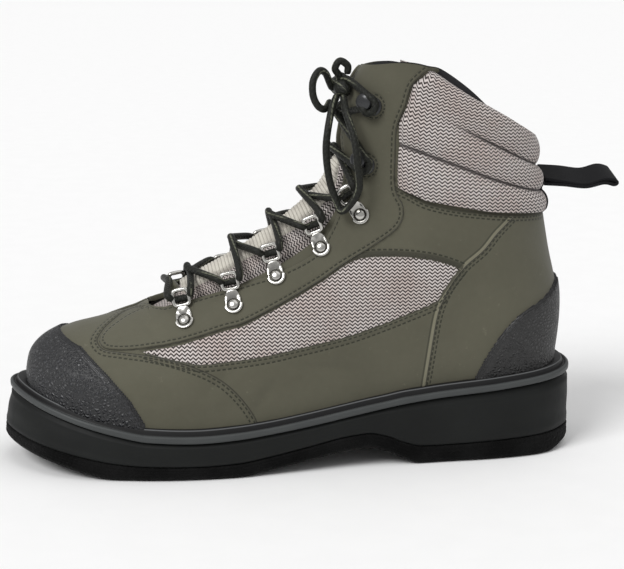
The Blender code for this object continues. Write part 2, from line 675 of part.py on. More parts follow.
LACE_R = 0.002
CROSS_AT = (0.30, 0.34, 0.30, 0.22, 0.50, 0.50)  # share of the way from one pair of rings to the next


def crossing(name, low, high, side, lift, at):
    """One strand from a low point on one side over the ridge, crossed at a share of its way."""
    path = []
    for k in np.linspace(0.09, 0.91, 9):
        u = low[0] + (high[0] - low[0]) * (k + (at - 0.5) * math.sin(math.pi * k))
        a = side * (-low[1] + (low[1] + high[1]) * k)
        rise = low[2] + (high[2] - low[2]) * k
        hump = math.sin(math.pi * k) ** 0.8
        path.append(form(u, a, rise * (1 - hump) + lift * hump))
    return tube(name, path, LACE_R, "lace")


def build_crossings():
    # section, angle and height above the form of the lace beside each ring or hook
    ends = [(6.97, 0.20, 0.0075), (7.99, 0.26, 0.0075), (8.99, 0.24, 0.0075), (10.19, 0.24, 0.0075),
            (11.61, 0.27, 0.0075), (13.03, 0.30, 0.0035), (14.90, 0.24, 0.0034)]
    for i in range(6):
        one = crossing("lace_crossing_%d" % (i + 1), ends[i], ends[i + 1], 1, 0.0040, CROSS_AT[i])
        two = crossing("other", ends[i], ends[i + 1], -1, 0.0061, CROSS_AT[i])
        cut(one, [two], "UNION")


def build_knot():
    """The knot of the bow, on the ridge of the tongue below the top of the shaft."""
    path = [form(15.45, a, 0.0003 + 2 * FIT + KNOT_R) for a in np.linspace(-0.22, 0.12, 5)]
    return tube("lace_knot", path, KNOT_R, "lace", 10)


KNOT_R = 0.005

# Routes of the bow in front of the shaft: shares of length, ball width and shaft height
CORDS = {
    "lace_loop_long": ((0.426, -0.100, 0.917), (0.437, -0.160, 0.890), (0.447, -0.215, 0.836), (0.450, -0.230, 0.787),
                       (0.445, -0.245, 0.721), (0.433, -0.264, 0.665), (0.426, -0.282, 0.646), (0.413, -0.300, 0.662),
                       (0.400, -0.312, 0.695), (0.398, -0.314, 0.724), (0.402, -0.312, 0.776), (0.406, -0.285, 0.829),
                       (0.415, -0.225, 0.880), (0.416, -0.140, 0.916)),
    "lace_loop_small": ((0.4345, -0.055, 0.947), (0.444, -0.080, 0.975), (0.456, -0.105, 0.981),
                        (0.467, -0.127, 0.958), (0.468, -0.140, 0.925), (0.461, -0.145, 0.900),
                        (0.451, -0.140, 0.889)),
    "lace_loop_top": ((0.4186, -0.060, 0.9655), (0.427, -0.073, 0.985), (0.419, -0.075, 1.004),
                      (0.406, -0.075, 0.993), (0.4055, -0.072, 0.977)),
}


def smooth_route(points, count):
    """Evenly spaced points on a smooth curve through the route."""
    p = np.array([[HEEL_BACK - x * LENGTH, y * BALL_WIDTH, z * SHAFT_HEIGHT] for x, y, z in points])
    fine = along(p, np.linspace(0, len(p) - 1, 400))
    run = np.concatenate([[0], np.cumsum(np.linalg.norm(np.diff(fine, axis=0), axis=1))])
    want = np.linspace(0, run[-1], count)
    return np.stack([np.interp(want, run, fine[:, k]) for k in range(3)], 1)


def build_cord(name, points, count):
    curve = bpy.data.curves.new(name, "CURVE")
    curve.dimensions = "3D"
    curve.bevel_depth, curve.bevel_resolution, curve.use_fill_caps = LACE_R, 2, True
    line = curve.splines.new("POLY")
    route = smooth_route(points, count)
    line.points.add(len(route) - 1)
    for q, p in zip(line.points, route):
        q.co = (*p, 1)
    o = bpy.data.objects.new(name, curve)
    bpy.context.scene.collection.objects.link(o)
    curve.materials.append(material("lace"))


LOOP_WIDE = 0.018
LOOP_THICK = 0.0018


def build_pull_loop():
    # middle of the strap, out and back: shares of length and height
    route = ((0.054, 0.722), (0.020, 0.716), (-0.020, 0.709), (-0.052, 0.719), (-0.071, 0.716), (-0.077, 0.708),
             (-0.070, 0.700), (-0.052, 0.704), (-0.020, 0.695), (0.020, 0.702), (0.054, 0.708))
    mid = np.array([[HEEL_BACK - x * LENGTH, 0, z * SHAFT_HEIGHT] for x, z in route])
    mid = along(mid, np.linspace(0, len(mid) - 1, 22))
    ahead = np.gradient(mid, axis=0)
    ahead /= np.linalg.norm(ahead, axis=1, keepdims=True)
    side = np.stack([-ahead[:, 2], 0 * ahead[:, 0], ahead[:, 0]], 1) * LOOP_THICK / 2
    wide = np.array([0, LOOP_WIDE / 2, 0])
    rows = np.stack([mid - side - wide, mid - side + wide, mid + side + wide, mid + side - wide], 1)
    points, faces = loops(rows)
    return mesh_object("pull_loop", points, faces, "webbing")


def build_back_strip():
    us = np.linspace(16.75, 17.45, 6)
    rows = []
    for u in us:
        a = math.pi + np.linspace(-0.30, 0.30, 7)
        hi = form(np.full(7, u), a, np.full(7, COLLAR_PUFF + FIT + 0.0015))
        rows.append(np.concatenate([form(np.full(7, u), a, np.full(7, COLLAR_PUFF + FIT)), hi[::-1]]))
    points, faces = loops(np.array(rows))
    return mesh_object("back_strip", points, faces, "webbing")


def main():
    for o in list(bpy.data.objects):
        bpy.data.objects.remove(o)
    build_sole()
    build_upper()
    build_insole()
    build_tongue()
    build_collar()
    build_panels()
    build_ridge()
    for i, (u, a) in enumerate(RINGS):
        for side, sign in (("lateral", -1), ("medial", 1)):
            build_plate("ring_plate_%s_%d" % (side, i + 1), u, sign * a)
            build_ring("d_ring_%s_%d" % (side, i + 1), u, sign * a)
    for i, (u, a) in enumerate(HOOKS):
        for side, sign in (("lateral", -1), ("medial", 1)):
            build_hook("hook_%s_%d" % (side, i + 1), u, sign * a)
    build_crossings()
    build_knot()
    for name, count in (("lace_loop_long", 26), ("lace_loop_small", 13), ("lace_loop_top", 10)):
        build_cord(name, CORDS[name], count)
    build_pull_loop()
    build_back_strip()


main()
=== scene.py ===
"""The looks of a lace-up wading boot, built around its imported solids.

The upper's pieces lie on one form, read at section u (toe to collar) and angle a (ridge to sole). Seams and
panel edges are drawn in side view, as shares of the boot's length and height, and laid on the form.
"""
from __future__ import annotations

import logging
import math
from dataclasses import dataclass
from enum import Enum
from typing import Optional, Sequence

import bmesh
import bpy
import numpy as np
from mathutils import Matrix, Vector


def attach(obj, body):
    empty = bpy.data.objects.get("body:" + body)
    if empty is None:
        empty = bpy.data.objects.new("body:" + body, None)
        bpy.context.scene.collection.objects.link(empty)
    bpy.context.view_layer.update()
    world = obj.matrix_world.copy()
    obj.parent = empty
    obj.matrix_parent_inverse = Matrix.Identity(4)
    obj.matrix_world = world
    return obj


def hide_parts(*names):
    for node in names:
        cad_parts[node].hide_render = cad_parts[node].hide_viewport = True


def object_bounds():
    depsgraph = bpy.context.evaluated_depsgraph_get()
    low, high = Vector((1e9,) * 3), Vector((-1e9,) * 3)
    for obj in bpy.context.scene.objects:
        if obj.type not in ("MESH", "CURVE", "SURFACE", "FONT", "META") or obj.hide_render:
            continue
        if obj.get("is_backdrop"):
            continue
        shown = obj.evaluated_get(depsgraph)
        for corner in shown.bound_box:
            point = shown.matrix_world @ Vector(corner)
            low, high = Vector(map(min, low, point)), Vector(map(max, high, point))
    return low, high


Array = np.ndarray
Piece, Material, Socket = bpy.types.Object, bpy.types.Material, bpy.types.NodeSocket
Colour = tuple[float, float, float]
LOG = logging.getLogger("boot")
MM = 0.001

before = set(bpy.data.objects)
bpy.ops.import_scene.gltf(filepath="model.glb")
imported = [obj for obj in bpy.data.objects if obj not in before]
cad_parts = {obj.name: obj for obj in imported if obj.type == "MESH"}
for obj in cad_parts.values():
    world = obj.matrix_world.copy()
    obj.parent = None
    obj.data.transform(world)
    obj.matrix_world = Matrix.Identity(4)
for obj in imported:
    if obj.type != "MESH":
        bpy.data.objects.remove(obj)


@dataclass(frozen=True)
class Sizes:
    """Sizes that the solids were built from, in metres."""

    length: float = 0.324
    ball: float = 0.110
    height: float = 0.222
    heel_back: float = 0.034
    wall: float = 0.0024
    room: float = 0.0065
    puff: float = 0.0035
    flare: float = 0.0035
    tongue_pad: float = 0.0045
    ridge: float = 0.0022
    fit: float = 0.0003
    lace_r: float = 0.002
    knot_r: float = 0.005

    def share(self, x: Array) -> Array:
        """Places along the foot as shares of the length, from the heel."""
        return (self.heel_back - x) / self.length


SIZES = Sizes()

# Sections of the upper: front x, front z, back x, back z, outer y, inner y, ridge y, belly, crown, base, bow
FORM = np.array([
    (0.957, 0.228, 0.957, 0.219, 0.064, 0.082, 0.073, 0.45, 2.00, 2.50, 0.000),
    (0.951, 0.268, 0.954, 0.165, -0.036, 0.182, 0.073, 0.45, 2.00, 2.60, 0.000),
    (0.938, 0.295, 0.942, 0.139, -0.114, 0.250, 0.073, 0.42, 2.00, 2.80, 0.000),
    (0.917, 0.317, 0.922, 0.122, -0.191, 0.309, 0.073, 0.40, 2.00, 3.00, 0.000),
    (0.880, 0.340, 0.886, 0.104, -0.286, 0.368, 0.068, 0.38, 1.95, 3.40, 0.000),
    (0.827, 0.358, 0.833, 0.081, -0.362, 0.423, 0.064, 0.36, 1.90, 4.00, 0.000),
    (0.762, 0.389, 0.762, 0.063, -0.409, 0.459, 0.045, 0.34, 1.80, 4.20, 0.000),
    (0.691, 0.446, 0.679, 0.054, -0.427, 0.464, 0.027, 0.32, 1.70, 4.50, 0.000),
    (0.614, 0.509, 0.583, 0.059, -0.418, 0.418, 0.009, 0.33, 1.62, 4.50, 0.000),
    (0.546, 0.574, 0.481, 0.077, -0.395, 0.350, 0.000, 0.35, 1.60, 4.20, 0.000),
    (0.488, 0.635, 0.377, 0.095, -0.364, 0.309, 0.000, 0.38, 1.65, 3.80, 0.000),
    (0.448, 0.694, 0.259, 0.113, -0.345, 0.309, 0.000, 0.40, 1.80, 3.40, 0.000),
    (0.426, 0.757, 0.130, 0.126, -0.341, 0.318, 0.000, 0.42, 1.95, 3.00, 0.000),
    (0.417, 0.820, 0.050, 0.162, -0.341, 0.327, 0.000, 0.43, 2.05, 2.60, 0.000),
    (0.410, 0.869, 0.031, 0.261, -0.345, 0.336, 0.000, 0.44, 2.10, 2.35, 0.000),
    (0.404, 0.914, 0.026, 0.396, -0.345, 0.336, 0.000, 0.45, 2.15, 2.25, 0.005),
    (0.395, 0.950, 0.044, 0.523, -0.341, 0.332, 0.000, 0.46, 2.20, 2.25, 0.018),
    (0.386, 0.973, 0.058, 0.631, -0.341, 0.332, 0.000, 0.47, 2.20, 2.30, 0.036),
    (0.380, 0.986, 0.069, 0.721, -0.345, 0.336, 0.000, 0.48, 2.20, 2.30, 0.052),
    (0.377, 0.991, 0.080, 0.811, -0.355, 0.345, 0.000, 0.48, 2.20, 2.30, 0.063),
])

# The sole's edge in plan, from the heel round the outer side: x, y
OUTLINE = np.array([
    (0.000, 0.000), (0.015, -0.177), (0.065, -0.305), (0.151, -0.359), (0.259, -0.373), (0.383, -0.395),
    (0.522, -0.445), (0.654, -0.482), (0.769, -0.459), (0.861, -0.382), (0.932, -0.245), (0.978, -0.055),
    (0.991, 0.127), (0.966, 0.291), (0.901, 0.418), (0.809, 0.491), (0.710, 0.514), (0.599, 0.445),
    (0.475, 0.341), (0.352, 0.305), (0.228, 0.332), (0.136, 0.341), (0.062, 0.295), (0.015, 0.173),
])

# Heights of the sole along the foot: x, bottom, felt top, midsole top, welt edge; and one column's number
SOLE = np.array([
    (-0.006, 0.020, 0.061, 0.202, 0.222), (0.028, 0.009, 0.058, 0.197, 0.217),
    (0.056, 0.000, 0.055, 0.194, 0.213), (0.151, 0.000, 0.049, 0.181, 0.200),
    (0.259, 0.000, 0.045, 0.168, 0.187), (0.290, 0.000, 0.046, 0.163, 0.182),
    (0.321, 0.016, 0.058, 0.157, 0.177), (0.352, 0.037, 0.077, 0.150, 0.169),
    (0.383, 0.048, 0.087, 0.142, 0.162), (0.420, 0.045, 0.083, 0.133, 0.153),
    (0.488, 0.029, 0.065, 0.117, 0.137), (0.556, 0.012, 0.047, 0.104, 0.123),
    (0.611, 0.000, 0.036, 0.096, 0.116), (0.679, 0.000, 0.033, 0.092, 0.112),
    (0.759, 0.000, 0.035, 0.097, 0.117), (0.815, 0.000, 0.041, 0.112, 0.132),
    (0.870, 0.014, 0.054, 0.131, 0.150), (0.932, 0.036, 0.071, 0.157, 0.176),
    (0.978, 0.050, 0.083, 0.178, 0.197), (1.006, 0.057, 0.090, 0.189, 0.208),
])
MIDSOLE_TOP = 3

# Half width of the throat: section, share of the ball width
THROAT = np.array([
    (6.2, 0.06), (6.32, 0.11), (6.55, 0.15), (7, 0.18), (8, 0.20), (9, 0.20), (10, 0.19), (11, 0.165),
    (12, 0.12), (13, 0.065), (15, 0.040), (17, 0.035), (19, 0.040),
])

# Sections of the throat's foot and of the upper's top edge
THROAT_START, TOP = 6.2, 19.0

# Lines drawn in side view: shares of length and height
CAP_EDGE = ((0.755, 0.06), (0.766, 0.144), (0.788, 0.199), (0.824, 0.255), (0.865, 0.308), (0.885, 0.318),
            (0.906, 0.331), (0.912, 0.45))
COUNTER_EDGE = ((0.203, 0.10), (0.199, 0.15), (0.190, 0.214), (0.164, 0.288), (0.138, 0.341), (0.111, 0.375),
                (0.069, 0.406), (0.040, 0.438))
STAY_EDGE = ((0.746, 0.394), (0.783, 0.372), (0.812, 0.352), (0.827, 0.339), (0.835, 0.325), (0.831, 0.314),
             (0.819, 0.308), (0.771, 0.312), (0.694, 0.334), (0.628, 0.362), (0.591, 0.377), (0.522, 0.426),
             (0.462, 0.474), (0.426, 0.509), (0.376, 0.553), (0.338, 0.592), (0.323, 0.622), (0.322, 0.657),
             (0.334, 0.699), (0.3345, 0.787), (0.332, 0.850), (0.319, 0.904), (0.309, 0.953), (0.287, 0.990))
VAMP_LINE = ((0.744, 0.395), (0.764, 0.388), (0.791, 0.374), (0.817, 0.358), (0.836, 0.341), (0.8465, 0.320),
             (0.833, 0.301), (0.799, 0.296), (0.748, 0.289), (0.697, 0.272), (0.649, 0.243), (0.615, 0.202),
             (0.587, 0.143), (0.580, 0.10))
INSERT_TOP = ((0.768, 0.311), (0.694, 0.332), (0.628, 0.360), (0.591, 0.376), (0.522, 0.424), (0.462, 0.472),
              (0.426, 0.507), (0.400, 0.524), (0.373, 0.530), (0.339, 0.531), (0.304, 0.528), (0.270, 0.520),
              (0.244, 0.509), (0.224, 0.497))
INSERT_LOW = ((0.226, 0.494), (0.240, 0.467), (0.251, 0.444), (0.268, 0.414), (0.322, 0.382), (0.367, 0.359),
              (0.412, 0.339), (0.457, 0.325), (0.502, 0.313), (0.549, 0.300), (0.596, 0.291), (0.664, 0.282),
              (0.697, 0.288), (0.757, 0.306))
QUARTER_SEAM = ((0.137, 0.624), (0.164, 0.588), (0.187, 0.547), (0.217, 0.509), (0.240, 0.467),
                (0.253, 0.433), (0.265, 0.386), (0.274, 0.311), (0.283, 0.209), (0.285, 0.15))
COLLAR_FOOT = ((0.334, 0.700), (0.310, 0.684), (0.282, 0.663), (0.235, 0.647), (0.178, 0.636), (0.120, 0.627),
               (0.060, 0.620))

# Places of the rings and hooks: section, angle
RINGS = ((6.97, 0.689), (7.99, 0.746), (8.99, 0.705), (10.19, 0.721), (11.61, 0.754))
HOOKS = ((13.03, 0.624), (15.55, 0.608))

# Routes of the bow: shares of length, ball width and shaft height
LOOP_LONG = ((0.426, -0.100, 0.917), (0.437, -0.160, 0.890), (0.447, -0.215, 0.836), (0.450, -0.230, 0.787),
             (0.445, -0.245, 0.721), (0.433, -0.264, 0.665), (0.426, -0.282, 0.646), (0.413, -0.300, 0.662),
             (0.400, -0.312, 0.695), (0.398, -0.314, 0.724), (0.402, -0.312, 0.776), (0.406, -0.285, 0.829),
             (0.415, -0.225, 0.880), (0.416, -0.140, 0.916))
LOOP_SMALL = ((0.4345, -0.055, 0.947), (0.444, -0.080, 0.975), (0.456, -0.105, 0.981), (0.467, -0.127, 0.958),
              (0.468, -0.140, 0.925), (0.461, -0.145, 0.900), (0.451, -0.138, 0.889),
              (0.443, -0.112, 0.892), (0.437, -0.090, 0.903))
LOOP_TOP = ((0.4186, -0.060, 0.9655), (0.427, -0.073, 0.985), (0.419, -0.075, 1.004), (0.406, -0.075, 0.993),
            (0.4055, -0.072, 0.977))


class Side(Enum):
    """The two sides of the boot, by the sign of the angle."""

    LATERAL = -1
    MEDIAL = 1

    @property
    def label(self) -> str:
        """The side's word in the names of pieces and solids."""
        return self.name.lower()


class Slot(Enum):
    """Material slots, by name."""

    NUBUCK = "nubuck"
    PEBBLED = "pebbled"
    RUBBER = "rubber"
    FELT = "felt"
    MESH = "mesh"
    LINING = "lining"
    WEBBING = "webbing"
    NICKEL = "nickel"
    HOOK = "hook_metal"
    LACE = "lace"


def smooth(t: Array | float) -> Array:
    """A soft step: 0 below 0, 1 above 1."""
    t = np.clip(t, 0, 1)
    return t * t * (3 - 2 * t)


def along(table: Array, u: Array | float) -> Array:
    """Reads a table on a smooth curve through its rows.

    Args:
        table: Rows of numbers.
        u: Fractional row numbers.
    Returns:
        A row for each number.
    """
    u = np.clip(np.asarray(u, float), 0, len(table) - 1)
    i = np.minimum(u.astype(int), len(table) - 2)
    f = (u - i)[..., None]
    a, b = table[np.maximum(i - 1, 0)], table[i]
    c, d = table[i + 1], table[np.minimum(i + 2, len(table) - 1)]
    cubic = (3 * b - a - 3 * c + d) * f**3
    return 0.5 * (2 * b + (c - a) * f + (2 * a - 5 * b + 4 * c - d) * f**2 + cubic)


def unit(v: Array) -> Array:
    """Vectors scaled to length one."""
    return v / np.maximum(np.linalg.norm(v, axis=-1, keepdims=True), 1e-12)


def run_of(p: Array, axis: int = 0) -> Array:
    """How far the points of a line, or of a grid along one axis, lie from the first."""
    steps = np.linalg.norm(np.diff(p, axis=axis), axis=-1)
    return np.concatenate([np.zeros_like(steps.take([0], axis)), np.cumsum(steps, axis)], axis)


def vectors(*parts: Array | float) -> Array:
    """A vector for each point from three numbers."""
    return np.stack(np.broadcast_arrays(*parts), -1)


def from_ends(count: int, wide: float) -> Array:
    """A row of ones that falls to 0 at its ends, over that many points."""
    k = np.arange(count)
    return np.minimum(1, np.minimum(k, k[::-1]) / wide)


def turns(count: int) -> Array:
    """Angles that step evenly once round."""
    return np.arange(count) / count * 2 * math.pi


def spaced(line: Array, count: int) -> Array:
    """Evenly spaced points on a smooth curve through a few points.

    Args:
        line: The points of the line.
        count: How many points to return.
    Returns:
        The points, ends included.
    """
    fine = along(np.asarray(line, float), np.linspace(0, len(line) - 1, 60 * len(line)))
    run = run_of(fine)
    want = np.linspace(0, run[-1], count)
    return np.stack([np.interp(want, run, fine[:, k]) for k in range(fine.shape[1])], 1)


@dataclass
class Form:
    """The boot's outer form, from a table of sections between the ridge and the sole or back."""

    s: Sizes
    rows: Array

    def base(self, u: Array | float, a: Array | float) -> Array:
        """Points of the form at section u and angle a.

        Args:
            u: Sections.
            a: Angles.
        Returns:
            The points.
        """
        u, a = np.broadcast_arrays(np.asarray(u, float), np.asarray(a, float))
        columns = np.moveaxis(along(self.rows, u), -1, 0)
        front_x, front_z, back_x, back_z, outer, inner, ridge, belly, crown, base, bow = columns
        c, s = np.cos(a), np.sin(a)
        up = c > 0
        power = 2 / np.where(up, crown, base)
        share = belly + np.where(up, 1 - belly, -belly) * np.abs(c) ** power
        y = ridge + (np.where(s > 0, inner, outer) - ridge) * np.abs(s) ** power
        x = back_x + (front_x - back_x) * share
        z = back_z + (front_z - back_z) * share
        z = z + bow * np.sin(np.pi * np.clip(share, 0, 1) ** 1.6)
        inner_dip = 0.020 * smooth((u - 16.5) / 2.5) * np.maximum(s, 0) ** 0.5
        z = z - inner_dip * np.clip(0.55 + c, 0, 1)
        return np.stack([self.s.heel_back - x * self.s.length, y * self.s.ball, z * self.s.height], -1)

    def normals(self, u: Array | float, a: Array | float) -> Array:
        """Outward directions of the form."""
        e = 1e-3
        du = self.base(np.asarray(u) + e, a) - self.base(np.asarray(u) - e, a)
        da = self.base(u, np.asarray(a) + e) - self.base(u, np.asarray(a) - e)
        return unit(np.cross(du, da))

    def at(self, u: Array | float, a: Array | float, out: Array | float = 0.0) -> Array:
        """Points of the form, moved outwards."""
        return self.base(u, a) + self.normals(u, a) * np.asarray(out)[..., None]

    def throat_half(self, u: Array | float) -> Array:
        """Half width of the throat at section u."""
        return np.interp(u, THROAT[:, 0], THROAT[:, 1] * self.s.ball, left=0)

    def angle_beside(self, u: Array, dy: Array) -> Array:
        """Angles whose points lie dy beside the ridge.

        Args:
            u: Sections.
            dy: Signed distances along Y.
        Returns:
            The angles.
        """
        u, dy = np.broadcast_arrays(np.asarray(u, float), np.asarray(dy, float))
        lo, hi, sign = np.zeros(u.shape), np.full(u.shape, np.pi / 2), np.where(dy > 0, 1.0, -1.0)
        ridge = self.base(u, 0.0)[..., 1]
        for _ in range(30):
            mid = (lo + hi) / 2
            near = np.abs(self.base(u, sign * mid)[..., 1] - ridge) < np.abs(dy)
            lo, hi = np.where(near, mid, lo), np.where(near, hi, mid)
        return sign * lo

    def collar_front(self, z: Array) -> Array:
        """x of the collar's front edge at a height."""
        heights, shares = (0.70, 0.86, 0.90, 0.955, 0.985), (0.333, 0.331, 0.319, 0.309, 0.287)
        return self.s.heel_back - self.s.length * np.interp(z / self.s.height, heights, shares)

    def collar_foot(self, x: Array) -> Array:
        """z of the collar's lower edge at x."""
        heights = (0.618, 0.636, 0.663, 0.697)
        return self.s.height * np.interp(self.s.share(x), (0.05, 0.178, 0.282, 0.333), heights)

    def collar_top(self, x: Array) -> Array:
        """z of the collar's upper edge at x."""
        heights = (0.80, 0.835, 0.905, 0.945, 0.99, 1.0)
        return self.s.height * np.interp(self.s.share(x), (0.07, 0.108, 0.18, 0.226, 0.287, 0.36), heights)

    def recess(self, p: Array) -> Array:
        """How far the wall stands in under the collar."""
        x, z = p[..., 0], p[..., 2]
        ahead = smooth((x - self.collar_front(z)) / 0.008 + 0.1)
        return self.s.room * ahead * smooth((z - self.collar_foot(x)) / 0.008 + 0.1)

    def even_rows(self, start: float, end: float, count: int) -> Array:
        """Sections whose widest gaps are alike.

        Args:
            start: First section.
            end: Last section.
            count: How many.
        Returns:
            The sections.
        """
        u = np.linspace(start, end, 500)
        p = self.base(u[:, None], np.linspace(-np.pi, np.pi, 41)[None, :])
        step = np.linalg.norm(np.diff(p, axis=0), axis=-1)
        step = step.max(1) * 0.5 + step.mean(1)
        run = np.concatenate([[0], np.cumsum(step)])
        return np.interp(np.linspace(0, run[-1], count), run, u)

    def even_angles(self, u: Array, first: Array | float, last: Array | float, count: int) -> Array:
        """Angles that step evenly round each section.

        Args:
            u: Sections.
            first: First angle, of all or of each, up to pi on either side.
            last: Last angle.
            count: How many.
        Returns:
            An array of angles, a row per section, with the sign of the last.
        """
        t = np.linspace(0, 1, 240)
        fine = np.concatenate([np.pi / 2 * (1 - (1 - t) ** 2), np.pi / 2 * (1 + t[1:] ** 2.1)])
        first, last = np.broadcast_to(first, len(u)), np.broadcast_to(last, len(u))
        sign = np.where(last < 0, -1.0, 1.0)
        p = self.base(u[:, None], fine[None, :] * sign[:, None])
        run = run_of(p, 1)
        made = np.zeros((len(u), count))
        for i in range(len(u)):
            ends = np.interp([abs(first[i]), abs(last[i])], fine, run[i])
            made[i] = np.interp(np.linspace(ends[0], ends[1], count), run[i], fine)
        return made * sign[:, None]


@dataclass
class SideView:
    """Finds the points of the form that show at a place in the side view."""

    form: Form

    def __post_init__(self) -> None:
        """Lays a fine grid on each side."""
        form = self.form
        self.u = form.even_rows(0.05, TOP, 420)
        self.sides: dict[int, tuple[Array, Array, Array]] = {}
        for sign in (-1, 1):
            a = form.even_angles(self.u, 0.0, np.pi * sign, 260)
            self.sides[sign] = (form.base(self.u[:, None], a), form.normals(self.u[:, None], a), a)

    def lay(self, shares: Sequence[tuple[float, float]], side: int, count: int = 220) -> Array:
        """Lays a line of the side view on one side of the form.

        Args:
            shares: Points as shares of length and height.
            side: -1 for the outer side, 1 for the inner.
            count: Points of the line.
        Returns:
            Points in metres.
        """
        s = self.form.s
        flat = spaced(np.array(shares) * [s.length, s.height], count)
        want = np.stack([s.heel_back - flat[:, 0], flat[:, 1]], 1)
        p, n, _ = self.sides[side]
        p, n = p.reshape(-1, 3), n.reshape(-1, 3)
        out = []
        for x, z in want:
            d = (p[:, 0] - x) ** 2 + (p[:, 2] - z) ** 2
            i = int(np.argmin(d))
            ny = n[i, 1] if abs(n[i, 1]) > 0.25 else math.copysign(0.25, side)
            shift = np.clip((n[i, 0] * (p[i, 0] - x) + n[i, 2] * (p[i, 2] - z)) / ny, -0.002, 0.002)
            out.append((x, p[i, 1] + shift, z))
        made = np.array(out)
        for _ in range(3):
            made[1:-1, 1] = (made[:-2, 1] + 2 * made[1:-1, 1] + made[2:, 1]) / 4
        return made


@dataclass
class Field:
    """Signed distance to a line on the form, and the run along it, at each point."""

    d: Array
    run: Array
    within: Array

    def stack(self) -> Array:
        """The three as one vector a point."""
        return np.stack([self.d, self.run, self.within], -1)


def field_of(points: Array, normals: Array, line: Array) -> Field:
    """Measures points against a line; the distance is positive on the line's left, seen from outside.

    Args:
        points: Points on the form.
        normals: Outward directions there.
        line: Points of the line, close together.
    Returns:
        The field at the points.
    """
    shape = points.shape[:-1]
    p, n = points.reshape(-1, 3), normals.reshape(-1, 3)
    ahead = line[1:] - line[:-1]
    size = np.linalg.norm(ahead, axis=1)
    run = np.concatenate([[0], np.cumsum(size)])
    stride, batch = 6, 20000
    coarse = np.arange(0, len(line), stride)
    best = np.zeros(len(p), int)
    for k in range(0, len(p), batch):
        d = ((p[k:k + batch, None] - line[None, coarse]) ** 2).sum(-1)
        best[k:k + batch] = coarse[np.argmin(d, 1)]
    seg = np.clip(best[:, None] + np.arange(-stride - 1, stride + 2)[None], 0, len(ahead) - 1)
    a, v, ell = line[seg], ahead[seg], np.maximum(size[seg], 1e-9)
    t = ((p[:, None] - a) * v).sum(-1) / ell**2
    tc = np.clip(t, 0, 1)
    gap = p[:, None] - (a + v * tc[..., None])
    dist = np.linalg.norm(gap, axis=-1)
    pick = np.argmin(dist, 1)
    r = np.arange(len(p))
    s, w = seg[r, pick], gap[r, pick]
    side = (np.cross(unit(ahead[s]), w) * n).sum(-1)
    beyond = ((s == 0) & (t[r, pick] < 0)) | ((s == len(ahead) - 1) & (t[r, pick] > 1))
    far = np.where(beyond, np.abs((w * unit(ahead[s])).sum(-1)), 0)
    within = 1 - smooth(far / 0.0015)
    d = dist[r, pick] * np.where(side >= 0, 1, -1)
    way = run[s] + tc[r, pick] * size[s]
    return Field(d.reshape(shape), way.reshape(shape), within.reshape(shape))


def link(o: Piece, material: Material, slot: Slot, replaces: Sequence[str]) -> Piece:
    """Gives a piece its finish and puts it on the boot's body in place of solids."""
    o.data.materials.append(material)
    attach(o, "root")
    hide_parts(*replaces)
    return o


def grid_mesh(name: str, points: Array, layers: Optional[dict[str, Array]] = None,
              keep: Optional[Array] = None, weld: bool = False, outward: Optional[Array] = None,
              close: bool = False) -> Piece:
    """A piece from a grid whose points are moved into place.

    Args:
        name: The piece's name.
        points: Points by row and column.
        layers: Vectors a point, kept as attributes.
        keep: Which of the grid's faces stay.
        weld: Whether points that meet are joined.
        outward: Outward directions a point, if the mesh is open.
        close: Whether holes are filled.
    Returns:
        The piece, smooth shaded.
    """
    n, m = points.shape[:2]
    bm = bmesh.new()
    bmesh.ops.create_grid(bm, x_segments=m - 1, y_segments=n - 1, size=1)
    flat = points.reshape(-1, 3).tolist()
    for v, p in zip(bm.verts, flat):
        v.co = p
    for key, values in (layers or {}).items():
        layer = bm.verts.layers.float_vector.new(key)
        for v, p in zip(bm.verts, values.reshape(-1, 3).tolist()):
            v[layer] = p
    bm.faces.ensure_lookup_table()
    if outward is not None:
        bm.normal_update()
        mids = ((n - 1) // 2 * (m - 1) + (m - 1) // 4, (n - 1) // 3 * (m - 1) + (m - 1) // 2)
        flat = outward.reshape(-1, 3)
        tests = [bm.faces[i].normal.dot(Vector(flat[bm.faces[i].verts[0].index])) for i in mids]
        if sum(tests) < 0:
            bmesh.ops.reverse_faces(bm, faces=bm.faces)
    if keep is not None:
        gone = [f for f, k in zip(bm.faces, keep.ravel().tolist()) if not k]
        bmesh.ops.delete(bm, geom=gone, context="FACES")
    if weld:
        bmesh.ops.remove_doubles(bm, verts=bm.verts, dist=1e-6)
        bmesh.ops.dissolve_degenerate(bm, edges=bm.edges, dist=1e-7)
    if close:
        bmesh.ops.holes_fill(bm, edges=[e for e in bm.edges if e.is_boundary], sides=0)
    if outward is None:
        bmesh.ops.recalc_face_normals(bm, faces=bm.faces)
    for f in bm.faces:
        f.smooth = True
    me = bpy.data.meshes.new(name)
    bm.to_mesh(me)
    bm.free()
    o = bpy.data.objects.new(name, me)
    bpy.context.scene.collection.objects.link(o)
    return o


def face_any(mask: Array) -> Array:
    """Faces of a grid with at least one corner in the mask."""
    return mask[:-1, :-1] | mask[1:, :-1] | mask[:-1, 1:] | mask[1:, 1:]


